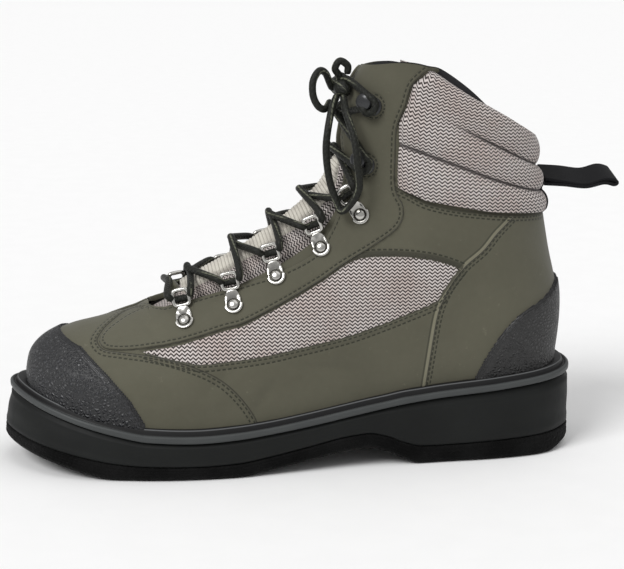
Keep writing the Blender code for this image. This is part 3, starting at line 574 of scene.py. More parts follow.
@dataclass
class Num:
    """A number from a socket of a material's graph; sums and products make Math nodes."""

    graph: Graph
    socket: Socket

    def op(self, operation: str, *others: Num | float) -> Num:
        """The result of a Math node on this number and others."""
        return self.graph.math(operation, self, *others)

    def __add__(self, o: Num | float) -> Num:
        """The sum."""
        return self.op("ADD", o)

    def __sub__(self, o: Num | float) -> Num:
        """The difference."""
        return self.op("SUBTRACT", o)

    def __mul__(self, o: Num | float) -> Num:
        """The product."""
        return self.op("MULTIPLY", o)

    __radd__ = __add__
    __rmul__ = __mul__

    def __rsub__(self, o: float) -> Num:
        """A plain number less this one."""
        return self.graph.math("SUBTRACT", o, self)

    def abs(self) -> Num:
        """Without its sign."""
        return self.op("ABSOLUTE")

    def fract(self) -> Num:
        """The part after the point."""
        return self.op("FRACT")

    def most(self, o: Num | float) -> Num:
        """The larger of two."""
        return self.op("MAXIMUM", o)

    def step(self, low: float, high: float) -> Num:
        """A soft step from 0 at low to 1 at high.

        Args:
            low: Where it begins.
            high: Where it ends.
        Returns:
            The step.
        """
        node = self.graph.tree.nodes.new("ShaderNodeMapRange")
        node.interpolation_type = "SMOOTHSTEP"
        self.graph.put(node.inputs["Value"], self)
        node.inputs["From Min"].default_value = min(low, high)
        node.inputs["From Max"].default_value = max(low, high)
        node.inputs["To Min"].default_value = 0.0 if low < high else 1.0
        node.inputs["To Max"].default_value = 1.0 if low < high else 0.0
        return Num(self.graph, node.outputs["Result"])

    def near(self, at: float, wide: float) -> Num:
        """1 within half a width of a value, with soft edges."""
        return (self - at).abs().step(wide * 0.68, wide * 0.32)


class Graph:
    """A material's nodes, made with short calls."""

    def __init__(self, name: str) -> None:
        """Args:
            name: The material's name.
        """
        self.material = bpy.data.materials.new(name)
        self.material.use_nodes = True
        self.tree = self.material.node_tree
        self.shader = self.tree.nodes["Principled BSDF"]

    def put(self, socket: Socket, value: Num | Socket | float | Colour) -> None:
        """Links a value to an input, or sets it there.

        Args:
            socket: The input.
            value: A number, a colour or a socket.
        """
        if isinstance(value, Num):
            self.tree.links.new(value.socket, socket)
        elif isinstance(value, Socket):
            self.tree.links.new(value, socket)
        elif isinstance(value, tuple):
            socket.default_value = (*value, 1.0) if len(value) == 3 and socket.type == "RGBA" else value
        else:
            socket.default_value = value

    def math(self, operation: str, *values: Num | float) -> Num:
        """The result of a Math node."""
        node = self.tree.nodes.new("ShaderNodeMath")
        node.operation = operation
        for socket, value in zip(node.inputs, values):
            self.put(socket, value)
        return Num(self, node.outputs[0])

    def attribute(self, name: str) -> tuple[Num, Num, Num]:
        """The three numbers of a piece's vector attribute."""
        node = self.tree.nodes.new("ShaderNodeAttribute")
        node.attribute_name = name
        split = self.tree.nodes.new("ShaderNodeSeparateXYZ")
        self.tree.links.new(node.outputs["Vector"], split.inputs[0])
        return tuple(Num(self, o) for o in split.outputs)

    def place(self) -> Socket:
        """Places on the object, in metres."""
        return self.tree.nodes.new("ShaderNodeTexCoord").outputs["Object"]

    def noise(self, size: float, detail: float, rough: float = 0.5) -> Num:
        """Soft noise from 0 to 1, its lumps about that size in metres.

        Args:
            size: Size of a lump in metres.
            detail: How many finer layers.
            rough: Their strength.
        Returns:
            The noise.
        """
        node = self.tree.nodes.new("ShaderNodeTexNoise")
        self.tree.links.new(self.place(), node.inputs["Vector"])
        node.inputs["Scale"].default_value = 0.5 / size
        node.inputs["Detail"].default_value = detail
        node.inputs["Roughness"].default_value = rough
        return Num(self, node.outputs["Fac"])

    def cells(self, size: float, feature: str, where: Socket) -> Num:
        """Distances in a pattern of cells about that size in metres."""
        node = self.tree.nodes.new("ShaderNodeTexVoronoi")
        node.feature = feature
        self.tree.links.new(where, node.inputs["Vector"])
        node.inputs["Scale"].default_value = 1 / size
        return Num(self, node.outputs["Distance"])

    def mix(self, share: Num, first: Colour | Socket, second: Colour | Socket) -> Socket:
        """A colour between two.

        Args:
            share: Share of the second.
            first: One colour.
            second: The other.
        Returns:
            The colour.
        """
        node = self.tree.nodes.new("ShaderNodeMix")
        node.data_type = "RGBA"
        self.put(node.inputs["Factor"], share)
        self.put(node.inputs[6], first)
        self.put(node.inputs[7], second)
        return node.outputs[2]

    def finish(self, colour: Colour | Socket, rough: Num | float, height: Optional[Num] = None,
               **constants: float) -> Material:
        """Joins colour, roughness and relief to the shader.

        Args:
            colour: Base colour.
            rough: Roughness.
            height: Relief in metres.
            constants: Values for the shader's other sockets, words joined by underscores.
        Returns:
            The material.
        """
        self.put(self.shader.inputs["Base Color"], colour)
        self.put(self.shader.inputs["Roughness"], rough)
        if height is not None:
            bump = self.tree.nodes.new("ShaderNodeBump")
            bump.inputs["Distance"].default_value = 1.0
            self.put(bump.inputs["Height"], height)
            self.tree.links.new(bump.outputs[0], self.shader.inputs["Normal"])
        for key, value in constants.items():
            self.shader.inputs[key.replace("_", " ")].default_value = value
        return self.material


@dataclass(frozen=True)
class Seam:
    """How a seam looks: offsets across it in metres, positive on the line's left."""

    layer: str
    edge: float = 0.0
    edge_wide: float = 0.0007
    rows: tuple[float, ...] = ()
    pitch: float = 0.0030
    thread: float = 0.0007

    def draw(self, g: Graph) -> tuple[Num, Num, Num]:
        """Draws the seam.

        Args:
            g: The material's graph.
        Returns:
            Dark line, thread and relief.
        """
        d, run, within = g.attribute(self.layer)
        within = within.step(0.4, 0.6)
        dark = d.near(self.edge, self.edge_wide) if self.edge_wide else d * 0.0
        relief = dark * (-0.00030)
        thread = dark * 0.0
        for k, at in enumerate(self.rows):
            dash = ((run * (1 / self.pitch) + 0.37 * k).fract() - 0.5).abs().step(0.36, 0.28)
            line = d.near(at, self.thread * 1.25) * dash
            thread = thread.most(line)
            relief = relief - d.near(at, 0.0016) * 0.00014 + line * 0.00016
        return dark * within, thread * within, relief * within


@dataclass(frozen=True)
class Leather:
    """Nubuck with seams: dull, fine grained, a little uneven in colour."""

    colour: Colour = (0.094, 0.090, 0.061)
    shade: Colour = (0.068, 0.065, 0.043)
    thread: Colour = (0.020, 0.021, 0.012)
    seam: Colour = (0.030, 0.029, 0.019)
    scuffed: Colour = (0.20, 0.19, 0.14)
    # raised is a painted highlight on the piping's ridge; sunk is painted shade along the piping's foot
    raised: Colour = (0.19, 0.18, 0.125)
    sunk: Colour = (0.03, 0.03, 0.02)
    rough: float = 0.78

    def make(self, name: str, seams: Sequence[Seam] = (), piping: Optional[str] = None) -> Material:
        """The material.

        Args:
            name: Its name.
            seams: The seams that it shows.
            piping: The layer whose line gets a painted highlight on the raised piping and painted shade along
                its foot.
        Returns:
            The material.
        """
        g = Graph(name)
        cloud = g.noise(0.030, 3).step(0.30, 0.70)
        colour = g.mix(cloud * 0.55 + g.noise(0.0016, 2) * 0.35, self.colour, self.shade)
        height = g.noise(0.0007, 3, rough=0.6) * 0.00006 + g.noise(0.010, 2) * 0.00035
        scuff = g.noise(0.0022, 4, rough=0.7).step(0.62, 0.75) * 0.22
        colour = g.mix(scuff, colour, self.scuffed)
        if piping:
            d, _, within = g.attribute(piping)
            # painted highlight on the piping's ridge, then painted shade just beside it
            colour = g.mix(d.near(0.0, 0.0018) * within * 0.85, colour, self.raised)
            colour = g.mix(d.near(-0.0014, 0.0009) * within * 0.7, colour, self.sunk)
        for seam in seams:
            dark, thread, relief = seam.draw(g)
            colour = g.mix(dark * 0.80, colour, self.seam)
            colour = g.mix(thread * 0.92, colour, self.thread)
            height = height + relief
        rough = g.noise(0.004, 2) * 0.12 + (self.rough - 0.06)
        return g.finish(colour, rough, height, Sheen_Weight=0.18, Sheen_Roughness=0.5,
                        Specular_IOR_Level=0.35)


@dataclass(frozen=True)
class Knit:
    """Open knit mesh: pale zigzag threads in rows, dark between; with folds set, painted shade in the folds.
    """

    thread: Colour = (0.60, 0.55, 0.53)
    warm: Colour = (0.52, 0.44, 0.41)
    bright: Colour = (0.66, 0.62, 0.59)
    gap: Colour = (0.012, 0.009, 0.008)
    slanted: Colour = (0.075, 0.060, 0.055)
    # folded is painted shade for the collar's folds and foot, used when folds is set
    folded: Colour = (0.035, 0.028, 0.028)
    pitch: float = 0.00195
    wave: float = 0.0031
    folds: bool = False

    def make(self, name: str) -> Material:
        """The material, on a layer that runs along and across the cloth in metres; with folds set, its third
        number says where to paint shade.

        Args:
            name: Its name.
        Returns:
            The material.
        """
        g = Graph(name)
        s, t, fold = g.attribute("cloth")
        wobble = g.noise(0.006, 2)
        zig = ((s * (1 / self.wave) + wobble * 0.35).fract() - 0.5).abs() * 1.35
        f = (t * (1 / self.pitch) + zig).fract()
        ridge = (f - 0.5).abs() * 2
        thread = ridge.step(0.70, 0.40)
        slant = ((s * (1 / self.wave) + wobble * 0.35 + 0.12).fract() - 0.5).abs().step(0.34, 0.12)
        tone = g.mix(g.noise(0.012, 3).step(0.35, 0.7), self.thread, self.warm)
        tone = g.mix(g.noise(0.0012, 2).step(0.45, 0.8) * 0.5, tone, self.bright)
        gap = g.mix(slant, self.gap, self.slanted)
        colour = g.mix(thread, gap, tone)
        if self.folds:
            # painted shade in the folds between the rolls and at the collar's foot
            colour = g.mix(fold.step(0.25, 1.0) * 0.85, colour, self.folded)
        height = thread * 0.00035 + g.noise(0.0005, 2) * 0.00008
        return g.finish(colour, 0.85, height, Sheen_Weight=0.15, Specular_IOR_Level=0.3)


@dataclass(frozen=True)
class Pebbled:
    """Coated leather with a coarse pebble grain and a satin shine."""

    colour: Colour = (0.0140, 0.0148, 0.0185)
    groove: Colour = (0.0040, 0.0042, 0.0052)
    seam: Colour = (0.003, 0.003, 0.004)
    size: float = 0.0021
    rough: float = 0.34
    depth: float = 0.00050

    def make(self, name: str, seams: Sequence[Seam] = ()) -> Material:
        """The material with its seams.

        Args:
            name: Its name.
            seams: The seams that it shows.
        Returns:
            The material.
        """
        g = Graph(name)
        place = g.place()
        warp = g.tree.nodes.new("ShaderNodeVectorMath")
        warp.operation = "MULTIPLY_ADD"
        noise = g.tree.nodes.new("ShaderNodeTexNoise")
        noise.inputs["Scale"].default_value = 260
        g.tree.links.new(place, noise.inputs["Vector"])
        g.tree.links.new(noise.outputs["Color"], warp.inputs[0])
        warp.inputs[1].default_value = (0.0016, 0.0016, 0.0016)
        g.tree.links.new(place, warp.inputs[2])
        edge = g.cells(self.size, "DISTANCE_TO_EDGE", warp.outputs[0])
        dome = edge.step(0.02, 0.42)
        fine = g.cells(self.size * 0.45, "F1", warp.outputs[0])
        height = dome * self.depth + fine * (-0.00010) + g.noise(0.0004, 2) * 0.00005
        colour = g.mix(dome, self.groove, self.colour)
        rough = g.noise(0.003, 3) * 0.2 + (self.rough - 0.10) + (1 - dome) * 0.2
        for seam in seams:
            height = height * (g.attribute(seam.layer)[0].abs().step(0.0034, 0.0048) * 0.8 + 0.2)
            dark, thread, relief = seam.draw(g)
            colour = g.mix(dark * 0.85, colour, self.seam)
            colour = g.mix(thread * 0.9, colour, self.seam)
            height = height + relief * 1.6
        return g.finish(colour, rough, height, Specular_IOR_Level=0.62)


@dataclass(frozen=True)
class Plain:
    """A plain matt or satin finish with fine unevenness."""

    colour: Colour
    rough: float
    grain: float = 0.0008
    depth: float = 0.00004
    metal: float = 0.0
    sheen: float = 0.0
    spread: float = 0.25
    shine: float = 0.5

    def make(self, name: str) -> Material:
        """The material.

        Args:
            name: Its name.
        Returns:
            The material.
        """
        g = Graph(name)
        dim = tuple(c * (1 - self.spread) for c in self.colour)
        bright = tuple(min(1.0, c * (1 + self.spread)) for c in self.colour)
        cloud = g.noise(0.012, 4).step(0.3, 0.7) * 0.6 + g.noise(self.grain, 2) * 0.4
        rough = g.noise(0.003, 3) * 0.16 + (self.rough - 0.08)
        height = g.noise(self.grain, 3, rough=0.6) * self.depth
        return g.finish(g.mix(cloud, dim, bright), rough, height, Metallic=self.metal,
                        Sheen_Weight=self.sheen, Specular_IOR_Level=self.shine)


@dataclass(frozen=True)
class Rand:
    """Grey edge strip, black stitched channel, and a painted highlight line along the bead above it."""

    strip: Colour = (0.048, 0.052, 0.052)
    shade: Colour = (0.032, 0.034, 0.035)
    channel: Colour = (0.0050, 0.0050, 0.0055)
    thread: Colour = (0.020, 0.020, 0.021)
    # painted highlight along the top of the bead
    line: Colour = (0.085, 0.088, 0.090)

    def make(self, name: str) -> Material:
        """The material, on the layer that runs along and in from the edge.

        Args:
            name: Its name.
        Returns:
            The material.
        """
        g = Graph(name)
        run, _, inset = g.attribute("edge")
        sunk = inset.step(0.0011, 0.0016)
        stitch = ((run * (1 / 0.0046)).fract() - 0.5).abs().step(0.42, 0.34) * inset.near(0.0026, 0.0009)
        cloud = g.noise(0.010, 3).step(0.3, 0.7) * 0.35
        colour = g.mix(cloud, self.strip, self.shade)
        colour = g.mix(sunk, colour, self.channel)
        colour = g.mix(stitch, colour, self.thread)
        # painted highlight along the bead's top
        colour = g.mix(inset.near(0.0042, 0.00035), colour, self.line)
        height = stitch * 0.0004 + g.noise(0.0010, 2) * 0.00004
        rough = g.noise(0.003, 3) * 0.16 + 0.42
        return g.finish(colour, rough, height, Specular_IOR_Level=0.35)


@dataclass(frozen=True)
class Nickel:
    """Bright plated metal with painted shade in its grooves."""

    colour: Colour = (0.52, 0.51, 0.48)
    # painted shade for the grooves
    dark: Colour = (0.06, 0.058, 0.05)

    def make(self, name: str) -> Material:
        """The material, on the layer that marks where the grooves get painted shade.

        Args:
            name: Its name.
        Returns:
            The material.
        """
        g = Graph(name)
        groove, _, _ = g.attribute("groove")
        wear = g.noise(0.0012, 3).step(0.55, 0.75) * 0.35
        # painted shade in the grooves, and darker specks of wear
        colour = g.mix(groove.most(wear * 0.5), self.colour, self.dark)
        rough = g.noise(0.002, 3) * 0.15 + 0.14 + wear * 0.2
        height = g.noise(0.0010, 2) * 0.00003
        return g.finish(colour, rough, height, Metallic=1.0)


@dataclass(frozen=True)
class Braid:
    """Round braided lace: dark strands with pale flecks."""

    colour: Colour = (0.0070, 0.0082, 0.0048)
    gap: Colour = (0.003, 0.003, 0.002)
    fleck: Colour = (0.13, 0.135, 0.095)
    radius: float = 0.002
    pitch: float = 0.0030

    def make(self, name: str) -> Material:
        """The material, on the layer that runs along and round the lace.

        Args:
            name: Its name.
        Returns:
            The material.
        """
        g = Graph(name)
        s, w, _ = g.attribute("run")
        turns = w * (4 / (2 * math.pi * self.radius))
        one = ((s * (1 / self.pitch) + turns).fract() - 0.5).abs() * 2
        two = ((s * (1 / self.pitch) - turns).fract() - 0.5).abs() * 2
        strand = one.step(0.95, 0.35) * 0.5 + two.step(0.95, 0.35) * 0.5
        height = strand * 0.00022 + g.noise(0.0003, 2) * 0.00003
        around = w * (1 / (2 * math.pi * self.radius))
        line = ((around * 2 + s * (1 / 0.075)).fract() - 0.5).abs().step(0.085, 0.055)
        broken = (s * (1 / self.pitch) + turns).fract().step(0.10, 0.25) * g.noise(0.009, 2).step(0.38, 0.52)
        colour = g.mix(strand, self.gap, self.colour)
        colour = g.mix(line * broken * 0.9, colour, self.fleck)
        return g.finish(colour, 0.55, height, Sheen_Weight=0.03, Specular_IOR_Level=0.28)


@dataclass(frozen=True)
class Ribbed:
    """Ribbed webbing; the ribs themselves are in the mesh, with painted shade in the valleys between them."""

    colour: Colour = (0.62, 0.59, 0.52)
    worn: Colour = (0.36, 0.33, 0.29)
    # painted shade for the valleys between the ribs
    dark: Colour = (0.17, 0.155, 0.13)
    pitch: float = 0.0021

    def make(self, name: str) -> Material:
        """The material, on the layer that runs across and along the webbing.

        Args:
            name: Its name.
        Returns:
            The material.
        """
        g = Graph(name)
        s, t, _ = g.attribute("cloth")
        rib = ((t * (1 / self.pitch)).fract() - 0.5).abs() * 2
        warp = ((s * (1 / 0.0011)).fract() - 0.5).abs() * 2
        height = warp * 0.00008 + g.noise(0.0005, 2) * 0.00006
        tone = g.mix(g.noise(0.003, 3).step(0.4, 0.75) * 0.6, self.colour, self.worn)
        # painted shade in the valleys between the ribs, unevenly strong
        colour = g.mix(rib.step(0.70, 0.98) * (g.noise(0.004, 2) * 0.6 + 0.4), tone, self.dark)
        return g.finish(colour, 0.8, height, Sheen_Weight=0.2, Specular_IOR_Level=0.3)


@dataclass(frozen=True)
class Tape:
    """Woven webbing strap: fine diagonal ribs."""

    colour: Colour = (0.0065, 0.0065, 0.0075)
    gap: Colour = (0.005, 0.005, 0.006)

    def make(self, name: str) -> Material:
        """The material, on the strap's own layer.

        Args:
            name: Its name.
        Returns:
            The material.
        """
        g = Graph(name)
        s, t, _ = g.attribute("cloth")
        twill = ((s * (1 / 0.0012) + t * (1 / 0.0018)).fract() - 0.5).abs() * 2
        height = twill * 0.00012 + g.noise(0.0006, 2) * 0.00006
        colour = g.mix(twill.step(0.2, 0.8), self.gap, self.colour)
        return g.finish(colour, 0.75, height, Sheen_Weight=0.03, Specular_IOR_Level=0.15)


@dataclass
class Sole:
    """Heights and plan edge of the sole."""

    s: Sizes

    def height(self, x: Array, column: int) -> Array:
        """Height of one of the sole's lines at x, without overshoot.

        Args:
            x: Places along the foot.
            column: 1 bottom, 2 felt top, 3 midsole top, 4 welt edge.
        Returns:
            Heights in metres.
        """
        s = np.clip(self.s.share(x), SOLE[0, 0], SOLE[-1, 0])
        xs, zs = SOLE[:, 0], SOLE[:, column] * self.s.height
        steps, slopes = np.diff(xs), np.diff(zs) / np.diff(xs)
        same = slopes[1:] * slopes[:-1] > 0
        mean = 2 * slopes[1:] * slopes[:-1] / np.where(same, slopes[1:] + slopes[:-1], 1)
        m = np.concatenate([slopes[:1], np.where(same, mean, 0), slopes[-1:]])
        i = np.clip(np.searchsorted(xs, s, "right") - 1, 0, len(xs) - 2)
        h, f = steps[i], (s - xs[i]) / steps[i]
        return (zs[i] * (1 + 2 * f) * (1 - f) ** 2 + m[i] * h * f * (1 - f) ** 2
                + zs[i + 1] * f * f * (3 - 2 * f) + m[i + 1] * h * f * f * (f - 1))

    def flare(self, x: Array) -> Array:
        """How far the toe stands out below the welt."""
        return self.s.flare * smooth((self.s.share(x) - 0.78) / 0.18)

    def ring(self, inset: float, out: float, count: int = 560) -> Array:
        """The plan edge, moved inwards and, at the toe, outwards; evenly spaced.

        Args:
            inset: Distance inwards.
            out: Share of the toe's flare.
            count: How many points.
        Returns:
            x and y of each.
        """
        closed = np.concatenate([OUTLINE[-1:], OUTLINE, OUTLINE[:2]])
        q = along(closed, 1 + np.arange(1200) / 1200 * len(OUTLINE))
        q = np.stack([self.s.heel_back - q[:, 0] * self.s.length, q[:, 1] * self.s.ball], 1)
        loop = np.concatenate([q, q[:1]])
        run = run_of(loop)
        want = np.arange(count) / count * run[-1]
        q = np.stack([np.interp(want, run, loop[:, k]) for k in (0, 1)], 1)
        ahead = unit(np.roll(q, -1, 0) - np.roll(q, 1, 0))
        inward = np.stack([ahead[:, 1], -ahead[:, 0]], 1)
        return q + inward * (inset - out * self.flare(q[:, :1]))


@dataclass
class Seams:
    """The seams and panel edges, laid on both sides of the form."""

    form: Form

    def __post_init__(self) -> None:
        """Lays the lines."""
        self.view = SideView(self.form)
        named = {"stay": STAY_EDGE, "vamp": VAMP_LINE, "top": INSERT_TOP, "low": INSERT_LOW,
                 "quarter": QUARTER_SEAM, "foot": COLLAR_FOOT, "counter": (*COUNTER_EDGE, (0.021, 0.452))}
        self.lines = {(k, s.value): self.view.lay(line, s.value) for k, line in named.items() for s in Side}

    def measure(self, name: str, p: Array, n: Array, a: Array) -> Field:
        """Measures points against a seam on their own side.

        Args:
            name: The seam.
            p: Points on the form.
            n: Outward directions.
            a: Their angles.
        Returns:
            The field.
        """
        made = Field(np.zeros(p.shape[:-1]), np.zeros(p.shape[:-1]), np.zeros(p.shape[:-1]))
        for side in Side:
            mask = a < 0 if side is Side.LATERAL else a >= 0
            if mask.any():
                f = field_of(p[mask], n[mask], self.lines[name, side.value])
                made.d[mask] = f.d * -side.value
                made.run[mask], made.within[mask] = f.run, f.within
        return made

    def insert(self, p: Array, n: Array, a: Array) -> Array:
        """Distance outside the mesh insert, negative inside it."""
        return np.maximum(self.measure("top", p, n, a).d, self.measure("low", p, n, a).d)

    def cap(self, p: Array) -> Array:
        """Distance inside the toe cap's rear edge."""
        s = self.form.s
        line = np.array(CAP_EDGE)
        behind = np.interp(p[..., 2] / s.height, line[:, 1], line[:, 0])
        return 0.72 * s.length * (s.share(p[..., 0]) - behind)


def ledge(d: Array, thick: float, soft: float = 0.00035, under: float = 0.0006) -> Array:
    """Thickness of a panel near its edge: full inside, down under the leather outside.

    Args:
        d: Distance inside the edge.
        thick: The panel's thickness.
        soft: Half width of the step.
        under: How deep the rest lies.
    Returns:
        Distances out of the form.
    """
    return -under + (thick + under) * smooth((d + soft) / (2 * soft))


@dataclass
class Patch:
    """A grid of sections and angles on the form."""

    form: Form
    u: Array
    a: Array

    def __post_init__(self) -> None:
        """Places the grid's points."""
        self.u, self.a = np.broadcast_arrays(self.u, self.a)
        self.p = self.form.base(self.u, self.a)
        self.n = self.form.normals(self.u, self.a)

    def out(self, distance: Array) -> Array:
        """The grid's points moved outwards."""
        return self.p + self.n * np.asarray(distance)[..., None]


@dataclass
class Upper:
    """The leather upper: vamp, quarters, eyestays, toe cap, counter, mesh inserts and lining.

    Its sizes are the thickness of the panels, the depth of the inserts, the radius of the stitching round
    the hooks and half the width of the grid's middle strip.
    """

    form: Form
    sole: Sole
    seams: Seams
    stay_thick: float = 0.0014
    cap_thick: float = 0.0021
    counter_thick: float = 0.0020
    insert_deep: float = 0.0015
    insert_face: float = 0.0008
    circle: float = 0.0066
    over_half: float = 0.0066

    def patch(self, start: float, end: float, count: int, sides: tuple[int, int, int]) -> tuple[Patch, Array]:
        """A grid round the whole form, split at the throat's edges.

        Args:
            start: First section.
            end: Last section.
            count: How many sections.
            sides: Columns on the outer side, over the ridge and on the inner side.
        Returns:
            The grid, and which of its faces lie off the throat.
        """
        u = self.form.even_rows(start, end, count)
        u = np.sort(np.append(u, THROAT_START))
        half = np.maximum(self.form.throat_half(u), self.over_half)
        first, last = self.form.angle_beside(u, -half), self.form.angle_beside(u, half)
        outer = self.form.even_angles(u, np.pi, first, sides[0])
        over = self.form.angle_beside(u[:, None], half[:, None] * np.linspace(-1, 1, sides[1])[None, :])
        inner = self.form.even_angles(u, last, np.pi, sides[2])
        a = np.concatenate([outer, over[:, 1:-1], inner], 1)
        keep = np.ones((len(u) - 1, a.shape[1] - 1), bool)
        row = int(np.argmin(np.abs(u - THROAT_START)))
        keep[row:, sides[0] - 1:sides[0] + sides[1] - 2] = False
        return Patch(self.form, u[:, None], a), keep

    def above_sole(self, p: Array) -> Array:
        """Which points stand above the midsole's top."""
        return p[..., 2] > self.sole.height(p[..., 0], MIDSOLE_TOP) + self.form.s.fit

    def shell(self, material: Material) -> Piece:
        """The base leather, with the vamp's overlap and the sunk insert.

        Args:
            material: Its finish.
        Returns:
            The piece.
        """
        g, keep = self.patch(0.05, TOP, 300, (170, 9, 110))
        names = ("vamp", "top", "low", "quarter", "foot")
        fields = {name: self.seams.measure(name, g.p, g.n, g.a) for name in names}
        vamp, top, low, quarter = (fields[name] for name in names[:4])
        inside = -np.maximum(top.d, low.d)
        out = -self.form.recess(g.p) - self.insert_deep * smooth((inside + 0.0003) / 0.0007)
        overlap = 0.00055 * smooth((0.0024 - vamp.d) / 0.0006) * vamp.within
        piping = 0.00055 * np.exp(-(quarter.d / 0.0009) ** 2) * quarter.within
        lip = 0.0004 * smooth((0.0028 + inside) / 0.0006) * smooth((-inside) / 0.0004)
        p = g.out(out + overlap + piping + lip + self.creases(g.p, g.a))
        keep &= face_any(self.above_sole(g.p)) & face_any(self.form.recess(g.p) < 0.9 * self.form.s.room)
        layers = {name: field.stack() for name, field in fields.items()}
        o = grid_mesh("upper_leather", p, layers, keep, outward=g.n)
        return link(o, material, Slot.NUBUCK, ["upper"])

    def creases(self, p: Array, a: Array) -> Array:
        """Soft folds and unevenness of the leather.

        Args:
            p: Points.
            a: Angles.
        Returns:
            Distances out of the form.
        """
        s = self.form.s
        x, z = s.share(p[..., 0]), p[..., 2] / s.height
        made = np.zeros(p.shape[:-1])
        for cx, cz, lean, long, wide, deep in CREASES:
            t = (x - cx) * math.cos(lean) + (z - cz) * math.sin(lean)
            q = -(x - cx) * math.sin(lean) + (z - cz) * math.cos(lean)
            made += deep * np.exp(-(t / long) ** 2 - (q / wide) ** 2)
        return made * np.where(a < 0, 1.0, 0.8)

    def stays(self, side: Side, material: Material) -> Piece:
        """The front panel of one side, folded over the throat's edge.

        Args:
            side: The side of the boot.
            material: Its finish.
        Returns:
            The piece.
        """
        form = self.form
        u = np.sort(np.append(form.even_rows(4.3, TOP, 290), THROAT_START))
        view_p, view_n, view_a = self.seams.view.sides[side.value]
        d = self.seams.measure("stay", view_p, view_n, view_a).d
        reach = np.where(d > -0.0025, np.abs(view_a), 0).max(1)
        reach = np.interp(u, self.seams.view.u, reach)
        reach = np.maximum(np.array([reach[max(0, i - 4):i + 5].max() for i in range(len(reach))]), 0.3)
        first = np.abs(form.angle_beside(u, form.throat_half(u) + 1e-5))
        a = form.even_angles(u, first * side.value, reach * side.value, 64)
        g = Patch(form, u[:, None], a)
        f = self.seams.measure("stay", g.p, g.n, g.a)
        p = g.out(ledge(f.d, self.stay_thick) + self.creases(g.p, g.a))
        ahead = unit(g.p[:, 1] - g.p[:, 0])
        opened = smooth((u - THROAT_START) / 0.1)[:, None]
        fold = []
        for aside, deep in THROAT_FOLD:
            shift = -aside * MM * opened
            fold.append(p[:, 0] + ahead * shift - g.n[:, 0] * deep * MM * opened)
        p = np.concatenate([np.stack(fold, 1), p], 1)
        many = len(fold)
        field, d, n = (np.concatenate([np.repeat(v[:, :1], many, 1), v], 1) for v in (f.stack(), f.d, g.n))
        edge = np.zeros(field.shape)
        edge[:, many:, 0] = run_of(g.p, 1)
        edge[..., 1] = run_of(g.p[:, 0])[:, None]
        edge[:, many:, 2] = 1
        edge[u < THROAT_START - 0.02, :, 2] = 0
        layers = {"stay": field, "throat": edge, "hook": self.circles(p, side)}
        o = grid_mesh(f"eyestay_leather_{side.label}", p, layers, face_any(d > -0.0011), outward=n)
        return link(o, material, Slot.NUBUCK, ["eyestay"])

    def circles(self, p: Array, side: Side) -> Array:
        """The stitched circles round the hooks: distance from the nearer one, way round it, within.

        Args:
            p: Points.
            side: The side of the boot.
        Returns:
            A vector a point.
        """
        made = np.zeros(p.shape) + np.array([1.0, 0.0, 0.0])
        for u, a in HOOKS:
            off = p - self.form.base(u, a * side.value)
            far = np.linalg.norm(off, axis=-1)
            turn = np.arctan2(off[..., 2], off[..., 0]) * self.circle
            near = far < 2 * self.circle
            made[near] = vectors(far - self.circle, turn, 1.0)[near]
        return made

    def insert(self, side: Side, material: Material) -> Piece:
        """The knit panel let into one quarter.

        Args:
            side: The side of the boot.
            material: Its finish.
        Returns:
            The piece.
        """
        form = self.form
        u = form.even_rows(4.5, 14.5, 190)
        a = form.even_angles(u, 0.45 * side.value, 2.6 * side.value, 90)
        g = Patch(form, u[:, None], a)
        inside = -self.seams.insert(g.p, g.n, g.a)
        puff = 0.0006 * smooth(inside / 0.012)
        p = g.out(np.full(g.u.shape, -self.insert_face) + puff + self.creases(g.p, g.a))
        cloth = np.stack([g.p[..., 0] * 1.04, g.p[..., 2], inside], -1)
        keep = face_any(inside > -0.0012)
        o = grid_mesh(f"knit_insert_{side.label}", p, {"cloth": cloth}, keep, outward=g.n)
        return link(o, material, Slot.MESH, ["upper"])

    def cap(self, material: Material) -> Piece:
        """The pebbled cap over the toe.

        Args:
            material: Its finish.
        Returns:
            The piece.
        """
        form = self.form
        u = form.even_rows(0.04, 7.6, 130)
        outer = form.even_angles(u, -np.pi, -1e-4, 120)
        inner = form.even_angles(u, 1e-4, np.pi, 110)
        g = Patch(form, u[:, None], np.concatenate([outer, inner], 1))
        d = self.seams.cap(g.p)
        p = g.out(ledge(d, self.cap_thick) + self.creases(g.p, g.a) * 0.5)
        layer = vectors(d, run_of(g.p, 1) * 1.2, 1.0)
        keep = face_any((d > -0.0012) & self.above_sole(g.p))
        o = grid_mesh("toe_cap_leather", p, {"cap": layer}, keep, outward=g.n)
        return link(o, material, Slot.PEBBLED, ["toe_cap"])

    def counter(self, material: Material) -> Piece:
        """The counter round the heel.

        Args:
            material: Its finish.
        Returns:
            The piece.
        """
        form = self.form
        u = form.even_rows(9.6, 16.2, 130)
        outer = form.even_angles(u, -1.1, -np.pi, 120)
        inner = form.even_angles(u, np.pi, 1.1, 120)
        g = Patch(form, u[:, None], np.concatenate([outer, inner[:, 1:]], 1))
        f = self.seams.measure("counter", g.p, g.n, g.a)
        f.d = -f.d
        p = g.out(ledge(f.d, self.counter_thick))
        keep = face_any((f.d > -0.0012) & self.above_sole(g.p))
        o = grid_mesh("heel_counter_leather", p, {"counter": f.stack()}, keep, outward=g.n)
        return link(o, material, Slot.PEBBLED, ["heel_counter"])

    def lining(self, material: Material) -> Piece:
        """The inner face of the upper, from toe to collar."""
        g, keep = self.patch(0.4, TOP, 130, (70, 9, 60))
        p = g.out(-self.form.recess(g.p) - self.form.s.wall)
        keep &= face_any(self.above_sole(g.p))
        o = grid_mesh("upper_lining", p, None, keep, outward=-g.n)
        return link(o, material, Slot.LINING, ["upper"])


